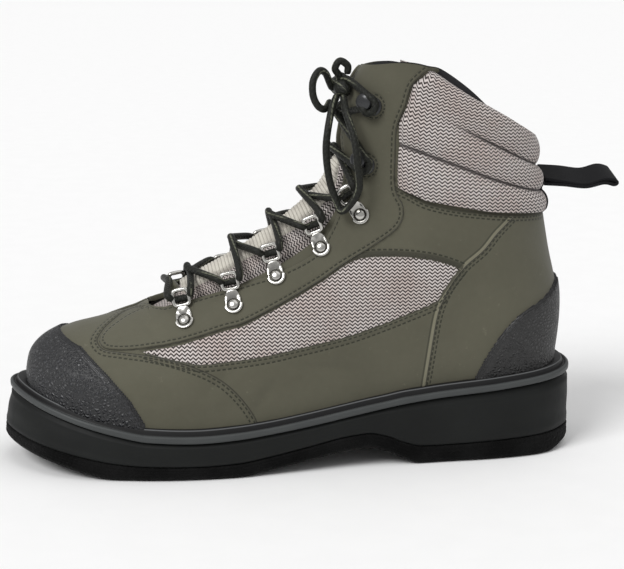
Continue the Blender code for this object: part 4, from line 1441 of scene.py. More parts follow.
# The panels' fold into the throat, in millimetres: aside, deep
THROAT_FOLD = ((0.0, 3.2), (0.55, 2.2), (0.75, 1.2), (0.70, 0.55), (0.45, 0.15))

# Soft folds of the leather in side view: x, z, lean, length, width, depth
CREASES = (
    (0.735, 0.335, 0.9, 0.05, 0.010, -0.0006), (0.700, 0.330, 1.0, 0.05, 0.010, -0.0005),
    (0.640, 0.240, 2.2, 0.05, 0.014, -0.0007), (0.560, 0.200, 2.0, 0.05, 0.012, -0.0006),
    (0.450, 0.260, 0.2, 0.06, 0.012, -0.0005), (0.300, 0.560, 0.5, 0.05, 0.012, -0.0006),
)


@dataclass
class Collar:
    """The padded collar of knit mesh and the webbing at the back.

    Its sizes are the points from the front edge to the back, the steps over the top edge, and the width and
    thickness of the pull loop's webbing.
    """

    form: Form
    half_count: int = 170
    rim_steps: int = 12
    wide: float = 0.018
    thick: float = 0.0018

    def folds(self, past: Array) -> tuple[Array, Array]:
        """Heights of the two folds, as shares, at a distance behind the collar's front edge."""
        ahead = smooth(past / 0.085)
        return 0.375 - 0.070 * ahead, 0.70 - 0.06 * ahead

    def share(self, p: Array) -> Array:
        """Heights of points as shares of the collar's height."""
        foot = self.form.collar_foot(p[..., 0])
        return (p[..., 2] - foot) / (self.form.collar_top(p[..., 0]) - foot)

    def rolls(self, t: Array, x: Array, z: Array) -> Array:
        """How far the three rolls stand out.

        Args:
            t: Share of the collar's height.
            x: Places along the foot.
            z: Heights.
        Returns:
            Distances out of the form.
        """
        past = x - self.form.collar_front(z)
        low, high = self.folds(past)
        phase = np.where(t < low, 0.08 + 0.92 * t / low,
                         np.where(t < high, 1 + (t - low) / (high - low), 2 + 0.85 * (t - high) / (1 - high)))
        wave = np.abs(np.sin(np.pi * phase)) ** 0.55
        second = smooth((phase - 1.5) * 2.2) * smooth((2.5 - phase) * 2.2)
        shallow = 1 - second * (1 - smooth((past - 0.010) / 0.040))
        wave = wave * shallow + 0.93 * (1 - shallow)
        front = smooth((past + 0.003) / 0.010)
        back = 1 - 0.36 * smooth((x - 0.006) / 0.020)
        return (self.form.s.puff + 0.001) * wave * front * back - 0.001

    def fold(self, t: Array, x: Array, z: Array) -> Array:
        """How deep in a fold, or how near the collar's foot, points lie, from 0 to 1: where the knit gets
        painted shade.
        """
        past = x - self.form.collar_front(z)
        low, high = self.folds(past)
        second = smooth((past - 0.012) / 0.040)
        near = np.exp(-((t - low) / 0.022) ** 2) + second * np.exp(-((t - high) / 0.022) ** 2)
        return near + np.exp(-((t - 0.005) / 0.02) ** 2) * 0.8

    def sections(self, t: Array, a: Array) -> Array:
        """Sections whose points lie at a share of the collar's height.

        Args:
            t: Shares.
            a: Angles.
        Returns:
            The sections.
        """
        t, a = np.broadcast_arrays(t, a)
        lo, hi = np.full(t.shape, 11.0), np.full(t.shape, TOP)
        for _ in range(26):
            mid = (lo + hi) / 2
            below = self.share(self.form.base(mid, a)) < t
            lo, hi = np.where(below, mid, lo), np.where(below, hi, mid)
        return (lo + hi) / 2

    def grid(self, t: Array, count: int, lap: float) -> Patch:
        """A grid over the collar from front edge round the back to front edge.

        Args:
            t: Shares of the collar's height.
            count: Points from the front edge to the back.
            lap: How far it reaches past the front edge.
        Returns:
            The grid.
        """
        halves = []
        for side in Side:
            fine = np.linspace(0.35, np.pi, 260)[None, :] * side.value
            u = self.sections(t[:, None], fine)
            p = self.form.base(u, fine)
            past = p[..., 0] - self.form.collar_front(p[..., 2]) + lap
            run = run_of(p, 1)
            a = np.zeros((len(t), count))
            for i in range(len(t)):
                start = np.interp(0, past[i], run[i])
                want = np.linspace(start, run[i, -1], count)
                a[i] = np.interp(want, run[i], fine[0] * side.value) * side.value
            halves.append(a if side is Side.LATERAL else a[:, ::-1][:, 1:])
        a = np.concatenate(halves, 1)
        return Patch(self.form, self.sections(t[:, None], a), a)

    def padding(self, material: Material) -> Piece:
        """The three rolls, turned over the top edge.

        Args:
            material: Its finish.
        Returns:
            The piece.
        """
        t = np.linspace(-0.02, 0.985, 150)
        g = self.grid(t, self.half_count, 0.0008)
        out = self.rolls(np.broadcast_to(t[:, None], g.u.shape), g.p[..., 0], g.p[..., 2])
        edge = from_ends(g.a.shape[1], 5.0)
        out = out * edge[None, :] ** 0.5 - 0.0022 * (1 - edge[None, :]) ** 2
        out = np.where(t[:, None] < 0.015, np.minimum(out, -0.0022), out)
        p = g.out(out)
        x = self.form.s.share(g.p[..., 0])
        sag = 0.0030 * smooth((t[:, None] - 0.55) / 0.45) * np.exp(-((x - 0.215) / 0.055) ** 2)
        p[..., 2] -= sag
        inner = -self.form.recess(g.p[-1]) - self.form.s.wall * 0.7
        rim, start = [], out[-1]
        mid, half = (start + inner) / 2, (start - inner) / 2
        for angle in np.linspace(0, np.pi, self.rim_steps)[1:]:
            q = g.p[-1] + g.n[-1] * (mid + half * math.cos(angle))[:, None]
            rim.append(q + np.array([0, 0, 1]) * (0.0020 * math.sin(angle) - sag[-1])[:, None])
        p = np.concatenate([p, np.array(rim)])
        rise = run_of(p[:len(t)]) * 0.5 + g.p[..., 2] * 0.5
        around = run_of(g.p, 1)
        around = around - around[:, self.half_count - 1:self.half_count]
        # the third number is how much painted shade the knit puts in the folds
        cloth = np.stack([around, rise, self.fold(t[:, None], g.p[..., 0], g.p[..., 2])], -1)
        tail = np.stack([cloth[-1] + np.array([0, 0.0008 * (k + 1), 0]) for k in range(len(rim))])
        o = grid_mesh("collar_padding", p, {"cloth": np.concatenate([cloth, tail])},
                      outward=np.concatenate([g.n, np.repeat(g.n[-1:], len(rim), 0)]))
        link(o, material, Slot.MESH, ["collar"])
        return o

    def strap(self, name: str, path: Array, width: float, thick: float, across: Array,
              material: Material, replaces: str) -> Piece:
        """A flat strap along a path.

        Args:
            name: Its name.
            path: Middle of the strap.
            width: Its width.
            thick: Its thickness.
            across: Direction of its width, a row per point.
            material: Its finish.
            replaces: The solid that it stands for.
        Returns:
            The strap.
        """
        ahead = unit(np.gradient(path, axis=0))
        up = unit(np.cross(ahead, across))
        w, h, r = width / 2, thick / 2, 0.0005
        ring = [(-w, -h + r), (-w + r, -h)] + [(x, -h) for x in np.linspace(-w + 2 * r, w - 2 * r, 9)]
        ring += [(w - r, -h), (w, -h + r), (w, h - r), (w - r, h)]
        ring += [(x, h) for x in np.linspace(w - 2 * r, -w + 2 * r, 9)] + [(-w + r, h), (-w, h - r)]
        ring = np.array(ring + ring[:1])
        p = path[:, None] + across[:, None] * ring[None, :, :1] + up[:, None] * ring[None, :, 1:]
        cloth = vectors(ring[None, :, 0], run_of(path)[:, None], 0.0)
        o = grid_mesh(name, p, {"cloth": cloth}, weld=True, close=True)
        return link(o, material, Slot.WEBBING, [replaces])

    def pull(self, material: Material) -> list[Piece]:
        """The loop at the back, folded double, and the strip that holds it.

        Args:
            material: Its finish.
        Returns:
            The loop and the strip.
        """
        s = self.form.s
        flat = spaced(np.array(PULL_ROUTE) * [s.length, s.height], 120)
        path = vectors(s.heel_back - flat[:, 0], 0.0, flat[:, 1])
        share = np.linspace(0, 1, len(path))
        across = unit(vectors(0.05 * np.sin(share * 9), 1.0, 0.34 + 0.10 * np.sin(share * 6.5)))
        loop = self.strap("pull_loop_webbing", path, self.wide, self.thick, across, material, "pull_loop")
        u = np.linspace(16.80, 17.66, 26)[:, None]
        a = math.pi + np.linspace(-0.30, 0.30, 34)[None, :]
        g = Patch(self.form, u, a)
        edge_u, edge_a = from_ends(u.size, 2.0)[:, None], from_ends(a.size, 2.0)[None, :]
        roll = self.rolls(self.share(g.p), g.p[..., 0], g.p[..., 2])
        top = g.out(np.maximum(roll, 0.0006) - 0.0004 + 0.0014 * np.sqrt(edge_u * edge_a))
        cloth = vectors(g.p[..., 1], g.p[..., 2], 0.0)
        strip = grid_mesh("back_strip_webbing", top, {"cloth": cloth}, outward=g.n)
        return [loop, link(strip, material, Slot.WEBBING, ["back_strip"])]


# Middle of the pull loop, out and back: shares of length and height
PULL_ROUTE = ((0.055, 0.710), (0.020, 0.704), (-0.020, 0.696), (-0.052, 0.707), (-0.071, 0.703),
              (-0.076, 0.695), (-0.070, 0.690), (-0.052, 0.694), (-0.020, 0.684), (0.020, 0.692),
              (0.055, 0.698))


@dataclass
class Tongue:
    """The padded gusset tongue, the ribbed webbing on it, and the tab."""

    form: Form
    rib_pitch: float = Ribbed.pitch

    def half(self, u: Array) -> Array:
        """Half width of the tongue."""
        return self.form.s.ball * np.interp(u, (5.8, 7.5, 10, 12, 19), (0.17, 0.28, 0.27, 0.21, 0.19))

    def out(self, aside: Array, u: Array) -> Array:
        """Outer face: under the leather at its sides, up in the throat between."""
        low = self.form.s.wall + self.form.s.fit + 0.0013
        rise = (1 - smooth((aside - self.form.throat_half(u) + 0.0050) / 0.0042)) * smooth((u - 6.5) / 0.4)
        rise = rise * (1 - smooth((u - 11.7) / 1.0))
        return -low + (low - 0.0012) * rise

    def pad(self, material: Material) -> Piece:
        """The padded tongue, top edge rolled over.

        Args:
            material: Its finish.
        Returns:
            The piece.
        """
        u = self.form.even_rows(5.8, 18.1, 200)[:, None]
        half = self.half(u)
        t = np.linspace(-1, 1, 61)[None, :]
        g = Patch(self.form, u, self.form.angle_beside(u, t * half))
        out = self.out(np.abs(t) * half, u)
        thick = self.form.s.tongue_pad * (0.55 + 0.45 * smooth((u - 6.5) / 3)) * (1 - 0.45 * np.abs(t) ** 3)
        puff = 0.0004 * np.sin(u * 7 + t * 2)
        top, under = g.out(out + puff * smooth((u - 7) / 2)), g.out(out - thick)
        arc = [g.out(out - thick / 2)[-1] + (g.n[-1] * math.cos(w)) * (thick[-1] / 2)[:, None]
               + np.array([0, 0, 1]) * 0.0018 * math.sin(w) for w in np.linspace(0, math.pi, 8)[1:-1]]
        ring = np.concatenate([top, np.array(arc), under[::-1]])
        wide = np.concatenate([half, half[-1:].repeat(len(arc), 0), half[::-1]])
        cloth = vectors(t * wide, run_of(ring[:, t.size // 2])[:, None], 0.0)
        n = np.concatenate([g.n, np.array([g.n[-1]] * len(arc)), -g.n[::-1]])
        o = grid_mesh("tongue_padding", ring, {"cloth": cloth}, outward=n)
        link(o, material, Slot.MESH, ["tongue"])
        return o

    def webbing(self, material: Material) -> Piece:
        """The ribbed webbing along the middle.

        Args:
            material: Its finish.
        Returns:
            The piece.
        """
        rows = self.form.even_rows(6.95, 12.3, 420)
        u = rows[:, None]
        half = np.minimum(0.0115, self.form.throat_half(u) - 0.0050)
        t = np.linspace(-1, 1, 33)[None, :]
        g = Patch(self.form, u, self.form.angle_beside(u, t * half))
        run = run_of(g.p[:, t.size // 2])[:, None]
        rib = np.sqrt(np.maximum(0, 1 - (((run / self.rib_pitch) % 1) * 2 - 1) ** 2))
        crown = 1 - 0.5 * t**4
        side = smooth((1 - np.abs(t)) / 0.10)
        ends = smooth(np.minimum(run, run[-1] - run) / 0.0015)
        high = self.out(np.abs(t) * half, u) + self.form.s.fit + (self.form.s.ridge - 0.0006) * crown
        out = high + 0.0009 * rib + 0.0002 * np.sin(run * 95) - 0.0030 * (1 - side * ends)
        cloth = vectors(t * half, run, 0.0)
        o = grid_mesh("tongue_webbing", g.out(out), {"cloth": cloth}, outward=g.n)
        return link(o, material, Slot.MESH, ["tongue_ridge"])

    def tab(self, material: Material) -> Piece:
        """The small tab at the foot of the throat.

        Args:
            material: Its finish.
        Returns:
            The piece.
        """
        u = np.linspace(6.56, 6.92, 24)[:, None]
        t = np.linspace(-1, 1, 24)[None, :]
        g = Patch(self.form, u, self.form.angle_beside(u, t * 0.0075))
        edge = from_ends(t.size, 3.0)
        edge = np.sqrt(edge[:, None] * edge[None, :])
        high = self.out(np.abs(t) * 0.3 * self.half(u), u) + 0.0048 - 0.0015 * t**2
        o = grid_mesh("tongue_tab_leather", g.out(high - 0.0042 * (1 - edge)), outward=g.n)
        return link(o, material, Slot.NUBUCK, ["tongue_tab"])


@dataclass
class Bottom:
    """Outsole, midsole, welt and footbed."""

    form: Form
    sole: Sole

    def rings(self, name: str, rings: Sequence[tuple[float, float, float, float]], count: int) -> Piece:
        """A layer of the sole.

        Args:
            name: Its name.
            rings: Inset, share of flare, column of the sole's heights, lift; a row per ring.
            count: Points round it.
        Returns:
            The layer, closed.
        """
        rows = []
        for inset, out, column, lift in rings:
            q = self.sole.ring(inset, out, count)
            low = int(math.floor(column))
            z = self.sole.height(q[:, 0], low) * (1 - column + low)
            if column > low:
                z = z + self.sole.height(q[:, 0], low + 1) * (column - low)
            rows.append(np.column_stack([q, z + lift]))
        p = np.array(rows)
        p = np.concatenate([p, p[:, :1]], 1)
        inset = np.array([ring[0] if ring[2] >= 4 else -MM for ring in rings])
        layer = vectors(run_of(p[0])[None, :], run_of(p).mean(1)[:, None], inset[:, None])
        return grid_mesh(name, p, {"edge": layer}, weld=True, close=True)

    def felt(self, material: Material) -> Piece:
        """The felt outsole, its sides a little uneven.

        Args:
            material: Its finish.
        Returns:
            The piece.
        """
        rings = [(0.012, 0.6, 1, 0.0), (0.0040, 1, 1, 0.0), (0.0016, 1, 1, 0.0004), (0.0003, 1, 1, 0.0018)]
        rings += [(0.0002 * math.sin(k * 2.3), 1 - 0.1 * k / 12, 1 + k / 12, 0.0018 * (1 - k / 12))
                  for k in range(1, 12)]
        rings += [(0.0003, 0.9, 2, -0.0002), (0.0012, 0.9, 2, 0.0), (0.012, 0.6, 2, 0.0)]
        o = self.rings("outsole_felt_layer", rings, 720)
        return link(o, material, Slot.FELT, ["outsole_felt"])

    def midsole(self, material: Material) -> Piece:
        """The moulded midsole, a shallow groove under the welt.

        Args:
            material: Its finish.
        Returns:
            The piece.
        """
        rings = [(0.010, 0.7, 2, 0.0003), (0.0012, 0.9, 2, 0.0003), (0.0, 0.9, 2, 0.0012),
                 (0.0, 0.85, 2.15, 0.0)]
        rings += [(0.0002 + 0.0001 * math.sin(k * 0.8), 0.85 * (1 - (k / 10) ** 1.3),
                   2.15 + 0.65 * k / 10, 0.0) for k in range(1, 11)]
        rings += [(0.0004, 0, 2.88, 0.0), (0.0018, 0, 2.92, 0.0), (0.0018, 0, 3, -0.0002), (0.010, 0, 3, 0.0)]
        o = self.rings("midsole_moulding", rings, 720)
        return link(o, material, Slot.RUBBER, ["midsole"])

    def welt(self, material: Material) -> Piece:
        """The welt: rounded strip, stitched groove and a bead against the upper.

        Args:
            material: Its finish.
        Returns:
            The piece.
        """
        rings = [
            (0.010, 0, 3, 0.0003), (0.0014, 0, 3, 0.0003), (0.0004, 0, 3, 0.0006), (0.0, 0, 3, 0.0012),
            (-0.0001, 0, 3.3, 0.0006), (-0.0001, 0, 3.65, 0.0003), (0.0, 0, 4, -0.0008),
            (0.0005, 0, 4, -0.0002), (0.0012, 0, 4, 0.0001), (0.0017, 0, 4, 0.0000),
            (0.0020, 0, 4, -0.0006), (0.0026, 0, 4, -0.0009), (0.0031, 0, 4, -0.0007),
            (0.0034, 0, 4, 0.0000), (0.0037, 0, 4, 0.0012), (0.0040, 0, 4, 0.0022),
            (0.0044, 0, 4, 0.0028), (0.0050, 0, 4, 0.0031), (0.0070, 0, 4, 0.0031),
            (0.0120, 0, 4, 0.0031),
        ]
        o = self.rings("welt_strip", rings, 900)
        return link(o, material, Slot.RUBBER, ["welt"])

    def footbed(self, material: Material) -> Piece:
        """The footbed, a soft dish inside the wall.

        Args:
            material: Its finish.
        Returns:
            The piece.
        """
        t = np.sin(np.linspace(-1, 1, 41) * math.pi / 2)
        edge = self.sole.ring(0.0068, 0.0)
        rows = []
        for x in np.linspace(0.028, -0.270, 90):
            outer, inner = (self.reach(edge, x, side) for side in Side)
            y = (outer + inner) / 2 + (inner - outer) / 2 * t
            z = self.sole.height(np.full(t.size, x), MIDSOLE_TOP) + self.form.s.fit + 0.0038
            rows.append(vectors(x, y, z + 0.0012 * np.abs(t) ** 4))
        p = np.array(rows)
        up = np.zeros(p.shape)
        up[..., 2] = 1
        o = grid_mesh("footbed", p, outward=up)
        return link(o, material, Slot.LINING, ["insole"])

    def reach(self, q: Array, x: float, side: Side) -> float:
        """y at which an edge in plan passes x on one side."""
        on = q[np.sign(q[:, 1] - np.interp(x, (-0.27, 0.028), (0.012, 0.0))) == side.value]
        order = np.argsort(on[:, 0])
        return float(np.interp(x, on[order, 0], on[order, 1]))


@dataclass
class Fittings:
    """Ring plates, D rings and hooks.

    Its sizes are the lean of the rings, how far their middle lies from the plate's to the ridge, outwards
    and up the ring, and the radius of the wire.
    """

    form: Form
    lean: float = 0.45
    ring_along: float = 0.0099
    ring_out: float = 0.0016
    ring_half: float = 0.0039
    wire: float = 0.0012

    def place(self, u: float, a: float) -> tuple[Array, Array, Array, Array]:
        """A point on the panel and its directions: along the throat, to the ridge, outwards."""
        p, n = self.form.at(u, a, 0.0018), self.form.normals(u, a)
        inward = self.form.base(u, a * 0.98) - self.form.base(u, a)
        inward = unit(inward - n * float(inward @ n))
        return p, np.cross(inward, n), inward, n

    def ring_place(self, side: Side, index: int) -> tuple[Array, Array, Array, Array]:
        """The middle of a ring and its directions: along the throat, up the ring, off the panel."""
        u, a = RINGS[index]
        p, s, t, n = self.place(u, a * side.value)
        across = t * math.cos(self.lean) + n * math.sin(self.lean)
        return p + t * self.ring_along + n * self.ring_out + across * self.ring_half, s, across, n

    def turned(self, name: str, rows: Sequence[Array], groove: Optional[Array] = None) -> Piece:
        """A closed solid from rings of points.

        Args:
            name: Its name.
            rows: The rings.
            groove: How much painted shade each ring gets in the finish.
        Returns:
            The solid.
        """
        p = np.array(rows)
        p = np.concatenate([p, p[:, :1]], 1)
        dark = np.zeros(len(rows)) if groove is None else groove
        layer = np.broadcast_to(dark[:, None, None], p.shape)
        return grid_mesh(name, p, {"groove": layer}, weld=True, close=True)

    def plate(self, side: Side, index: int, material: Material) -> Piece:
        """A teardrop plate with a domed rivet in a pressed groove.

        Args:
            side: The side of the boot.
            index: Its number from the toe, from 0.
            material: Its finish.
        Returns:
            The piece.
        """
        u, a = RINGS[index]
        p, s, t, n = self.place(u, a * side.value)
        turn = turns(64)
        up = np.maximum(np.sin(turn), 0)
        reach = 0.0052 + 0.0034 * up**2
        x, y = reach * np.cos(turn) * np.where(np.sin(turn) > 0, 0.85, 1), reach * np.sin(turn)

        def outline(scale: float, high: float) -> Array:
            """The plate's outline, scaled and raised."""
            fold = high + 0.0012 * smooth((y * scale - 0.0050) / 0.0025)
            return p + np.outer(x * scale, s) + np.outer(y * scale, t) + np.outer(fold, n)

        def ring(r: float, high: float) -> Array:
            """A circle round the rivet."""
            return p + n * high + np.outer(np.cos(turn) * r, s) + np.outer(np.sin(turn) * r, t)

        rows = [outline(0.97, -0.0004), outline(1.0, 0.0001), outline(1.0, 0.0006), outline(0.97, 0.0009),
                outline(0.92, 0.0010), outline(0.82, 0.00095), ring(0.0038, 0.0010), ring(0.0035, 0.0008),
                ring(0.0032, 0.0004), ring(0.0029, 0.0005), ring(0.0028, 0.0009), ring(0.0026, 0.0013),
                ring(0.0021, 0.0016), ring(0.0014, 0.0018), ring(0.0007, 0.0019), ring(0.0001, 0.00192)]
        # painted shade in the pressed groove round the rivet
        groove = np.array([0, 0, 0, 0, 0, 0.1, 0.5, 0.9, 1.0, 1.0, 0.6, 0.15, 0, 0, 0, 0])
        o = self.turned(f"ring_plate_{side.label}_{index + 1}_metal", rows, groove=groove)
        return link(o, material, Slot.NICKEL, [f"ring_plate_{side.label}_{index + 1}"])

    def ring(self, side: Side, index: int, material: Material) -> Piece:
        """A D ring that leans towards the throat.

        Args:
            side: The side of the boot.
            index: Its number from the toe, from 0.
            material: Its finish.
        Returns:
            The piece.
        """
        middle, s, across, _ = self.ring_place(side, index)
        turn = turns(72)
        cx, cy = np.cos(turn), np.sin(turn)
        path = (middle + np.outer(0.0044 * np.sign(cx) * np.abs(cx) ** 0.45, s)
                + np.outer(0.0044 * np.sign(cy) * np.abs(cy) ** 0.45 - 0.0006, across))
        square = np.cross(s, across)
        outward = unit(path - middle)
        w = np.linspace(0, 2 * math.pi, 14)
        rows = path[:, None] + self.wire * (np.cos(w)[None, :, None] * outward[:, None]
                                            + np.sin(w)[None, :, None] * square)
        rows = np.concatenate([rows, rows[:1]])
        o = grid_mesh(f"d_ring_{side.label}_{index + 1}_metal", rows, {"groove": rows * 0}, weld=True)
        return link(o, material, Slot.NICKEL, [f"d_ring_{side.label}_{index + 1}"])

    def hook(self, side: Side, index: int, material: Material) -> Piece:
        """A speed hook: base, neck and a mushroom knob leaning to the throat.

        Args:
            side: The side of the boot.
            index: Its number from the toe, from 0.
            material: Its finish.
        Returns:
            The piece.
        """
        u, a = HOOKS[index]
        p, s, t, n = self.place(u, a * side.value)
        turn = turns(56)
        circle = np.outer(np.cos(turn), s) + np.outer(np.sin(turn), t)
        rows = [p + n * h + t * lean + r * circle for r, h, lean in HOOK_RINGS]
        o = self.turned(f"hook_{side.label}_{index + 1}_metal", rows)
        return link(o, material, Slot.HOOK, [f"hook_{side.label}_{index + 1}"])


# Rings of a hook from its base to the top of its knob: radius, height, lean to the throat
HOOK_RINGS = ((0.0050, -0.0004, 0), (0.0052, 0.0002, 0), (0.0052, 0.0007, 0), (0.0049, 0.0010, 0),
              (0.0032, 0.0013, 0.0009), (0.0024, 0.0019, 0.0016), (0.0022, 0.0028, 0.0026),
              (0.0026, 0.0034, 0.0034), (0.0040, 0.0037, 0.0038), (0.0046, 0.0042, 0.0040),
              (0.0047, 0.0049, 0.0042), (0.0043, 0.0056, 0.0042), (0.0034, 0.0061, 0.0042),
              (0.0020, 0.0064, 0.0042), (0.0008, 0.0065, 0.0042), (0.0001, 0.0065, 0.0042))


# Sections where the two halves of the lace cross on the ridge, and how far out the lower one lies there
CROSSINGS = (7.27, 8.33, 9.35, 10.42, 12.45, 14.05)
LIFTS = (0.0036, 0.0050, 0.0048, 0.0038, 0.0014, 0.0022)


@dataclass
class Laces:
    """The lace: its two runs over the tongue, the knot and the bow.

    Its size, over, is how far the upper strand of a crossing lies over the lower.
    """

    form: Form
    fittings: Fittings
    over: float = 0.0032

    @property
    def r(self) -> float:
        """Radius of the lace."""
        return self.form.s.lace_r

    def tube(self, name: str, path: Array, radius: Array | float, sides: int = 20) -> Piece:
        """A round lace along a path, its ends closed.

        Args:
            name: Its name.
            path: Points along its middle, close together.
            radius: Its radius, or one a point.
            sides: Points round it.
        Returns:
            The lace.
        """
        ahead = unit(np.gradient(path, axis=0))
        radius = np.broadcast_to(radius, len(path)).astype(float)
        up = np.cross(ahead[0], [0.3, 0.5, 0.8])
        rings = []
        turn = np.linspace(0, 2 * math.pi, sides + 1)
        for k in range(len(path)):
            up = unit(up - ahead[k] * float(up @ ahead[k]))
            aside = np.cross(ahead[k], up)
            rings.append(path[k] + radius[k] * (np.outer(np.cos(turn), up) + np.outer(np.sin(turn), aside)))
        run = run_of(path)
        caps = []
        for end, way in ((0, -1), (-1, 1)):
            for share, ahead_by in ((0.75, 0.55), (0.02, 0.75)):
                middle = path[end] + ahead[end] * way * ahead_by * radius[end]
                caps.append(middle + (rings[end] - path[end]) * share)
        rings = [caps[1], caps[0], *rings, caps[2], caps[3]]
        run = np.concatenate([[run[0]] * 2, run, [run[-1]] * 2])
        around = turn * float(radius.mean())
        layer = vectors(run[:, None], around[None, :], 0.0)
        return grid_mesh(name, np.array(rings), {"run": layer}, weld=True, close=True)

    def route(self, shares: Sequence[tuple[float, float, float]], count: int) -> Array:
        """Points of a cord from its shares of length, ball width and height."""
        s = self.form.s
        p = np.array(shares) * [-s.length, s.ball, s.height] + [s.heel_back, 0, 0]
        return spaced(p, count)

    def past_ring(self, index: int, side: Side) -> list[Array]:
        """The lace's way through a ring, from the toe end to the top."""
        middle, s, across, n = self.fittings.ring_place(side, index)
        ahead = s * -side.value
        return [middle - ahead * 0.0072 + across * 0.0022 + n * 0.0002, middle - ahead * 0.0040 - n * 0.0018,
                middle + across * 0.0004 - n * 0.0030, middle + ahead * 0.0045 - n * 0.0016,
                middle + ahead * 0.0066 + across * 0.0034 + n * 0.0012]

    def past_hook(self, index: int, side: Side) -> list[Array]:
        """The lace's way behind a hook's neck, from below to above.

        Args:
            index: Its number from the toe, from 0.
            side: The side of the boot.
        Returns:
            The points of its way.
        """
        u, a = HOOKS[index]
        p, s, t, n = self.fittings.place(u, a * side.value)
        ahead = s * -side.value
        made = []
        for turn in np.radians((-20, -65, -90, -115, -160)):
            made.append(p + n * 0.0042 + t * (0.0012 + 0.0045 * math.sin(turn))
                        - ahead * 0.0045 * math.cos(turn))
        return [made[0] + t * 0.004, *made, made[-1] + t * 0.004]

    def crossing(self, index: int, side: Side) -> list[Array]:
        """Where a strand crosses the ridge, one over the other."""
        u = CROSSINGS[index]
        lift = LIFTS[index] + (0.0 if (side is Side.LATERAL) == (index % 2 == 0) else self.over)
        a = 0.05 * side.value
        return [self.form.at(u - 0.02, a * 2, lift - 0.0006), self.form.at(u, 0.0, lift),
                self.form.at(u + 0.02, -a * 2, lift - 0.0006)]

    def run(self, start: Side, material: Material) -> Piece:
        """Half of the lace, from the bar at the bottom to the knot.

        Args:
            start: The side of its first ring.
            material: Its finish.
        Returns:
            The lace.
        """
        side, points = start, [self.form.at(6.80, 0.02 * start.value, 0.0046)]
        for i in range(len(RINGS) + len(HOOKS)):
            if i < len(RINGS):
                points += self.past_ring(i, side)
            else:
                points += self.past_hook(i - len(RINGS), side)
            if i < len(CROSSINGS):
                points += self.crossing(i, side)
                side = Side(-side.value)
        points += [self.form.at(16.1, 0.22 * side.value, 0.0055),
                   self.form.at(15.9, 0.10 * side.value, 0.0075)]
        path = spaced(np.array(points), 620)
        o = self.tube(f"lace_run_{start.label}", path, self.r, 16)
        return link(o, material, Slot.LACE, [f"lace_crossing_{i + 1}" for i in range(len(CROSSINGS))])

    def knot(self, material: Material) -> Piece:
        """The knot of the bow: a band of lace round its middle."""
        a, share = np.linspace(-0.24, 0.14, 60), np.linspace(-1, 1, 60)
        middle = self.form.at(15.45, a, 0.0003 + 2 * self.form.s.fit + self.form.s.knot_r)
        radius = self.form.s.knot_r * (1 - 0.30 * share**4) * (1 + 0.07 * np.cos(share * 9))
        o = self.tube("lace_knot_wrap", middle, radius, 36)
        return link(o, material, Slot.LACE, ["lace_knot"])

    def cord(self, name: str, shares: Sequence[tuple[float, float, float]], replaces: Sequence[str],
             material: Material) -> Piece:
        """A free part of the lace, made as a tube.

        Args:
            name: Its name.
            shares: Its route.
            replaces: The solids that it stands for.
            material: Its finish.
        Returns:
            The cord.
        """
        path = self.route(shares, 160)
        length = float(np.linalg.norm(np.diff(path, axis=0), axis=1).sum())
        o = self.tube(name, path, self.r)
        link(o, material, Slot.LACE, replaces)
        LOG.info("%s is %.0f mm long", name, length * 1000)
        return o


def light_and_camera() -> None:
    """Soft studio light and a camera at the photo's angle."""
    scene = bpy.context.scene
    scene.view_settings.view_transform = "Standard"
    world = bpy.data.worlds.new("studio")
    scene.world = world
    world.use_nodes = True
    sky = world.node_tree.nodes["Background"]
    sky.inputs[0].default_value = (1.0, 1.0, 1.0, 1.0)
    sky.inputs[1].default_value = 0.50
    lamps = (("key", (-0.9, -0.75, 1.1), 1.9, 28.0), ("top", (0.5, -0.2, 1.6), 0.6, 60.0))
    for name, place, energy, spread in lamps:
        lamp = bpy.data.lights.new(name, "SUN")
        lamp.energy, lamp.angle = energy, math.radians(spread)
        o = bpy.data.objects.new(name, lamp)
        o.rotation_euler = (-Vector(place)).to_track_quat("-Z", "Y").to_euler()
        scene.collection.objects.link(o)
    camera = bpy.data.cameras.new("camera")
    camera.lens, camera.sensor_width = 94.9, 36.0
    view = bpy.data.objects.new("camera", camera)
    view.location = (-0.2431, -0.9041, 0.298)
    aim = Vector((-0.116, 0.0, 0.096)) - view.location
    view.rotation_euler = aim.to_track_quat("-Z", "Y").to_euler()
    scene.collection.objects.link(view)
    scene.camera = view


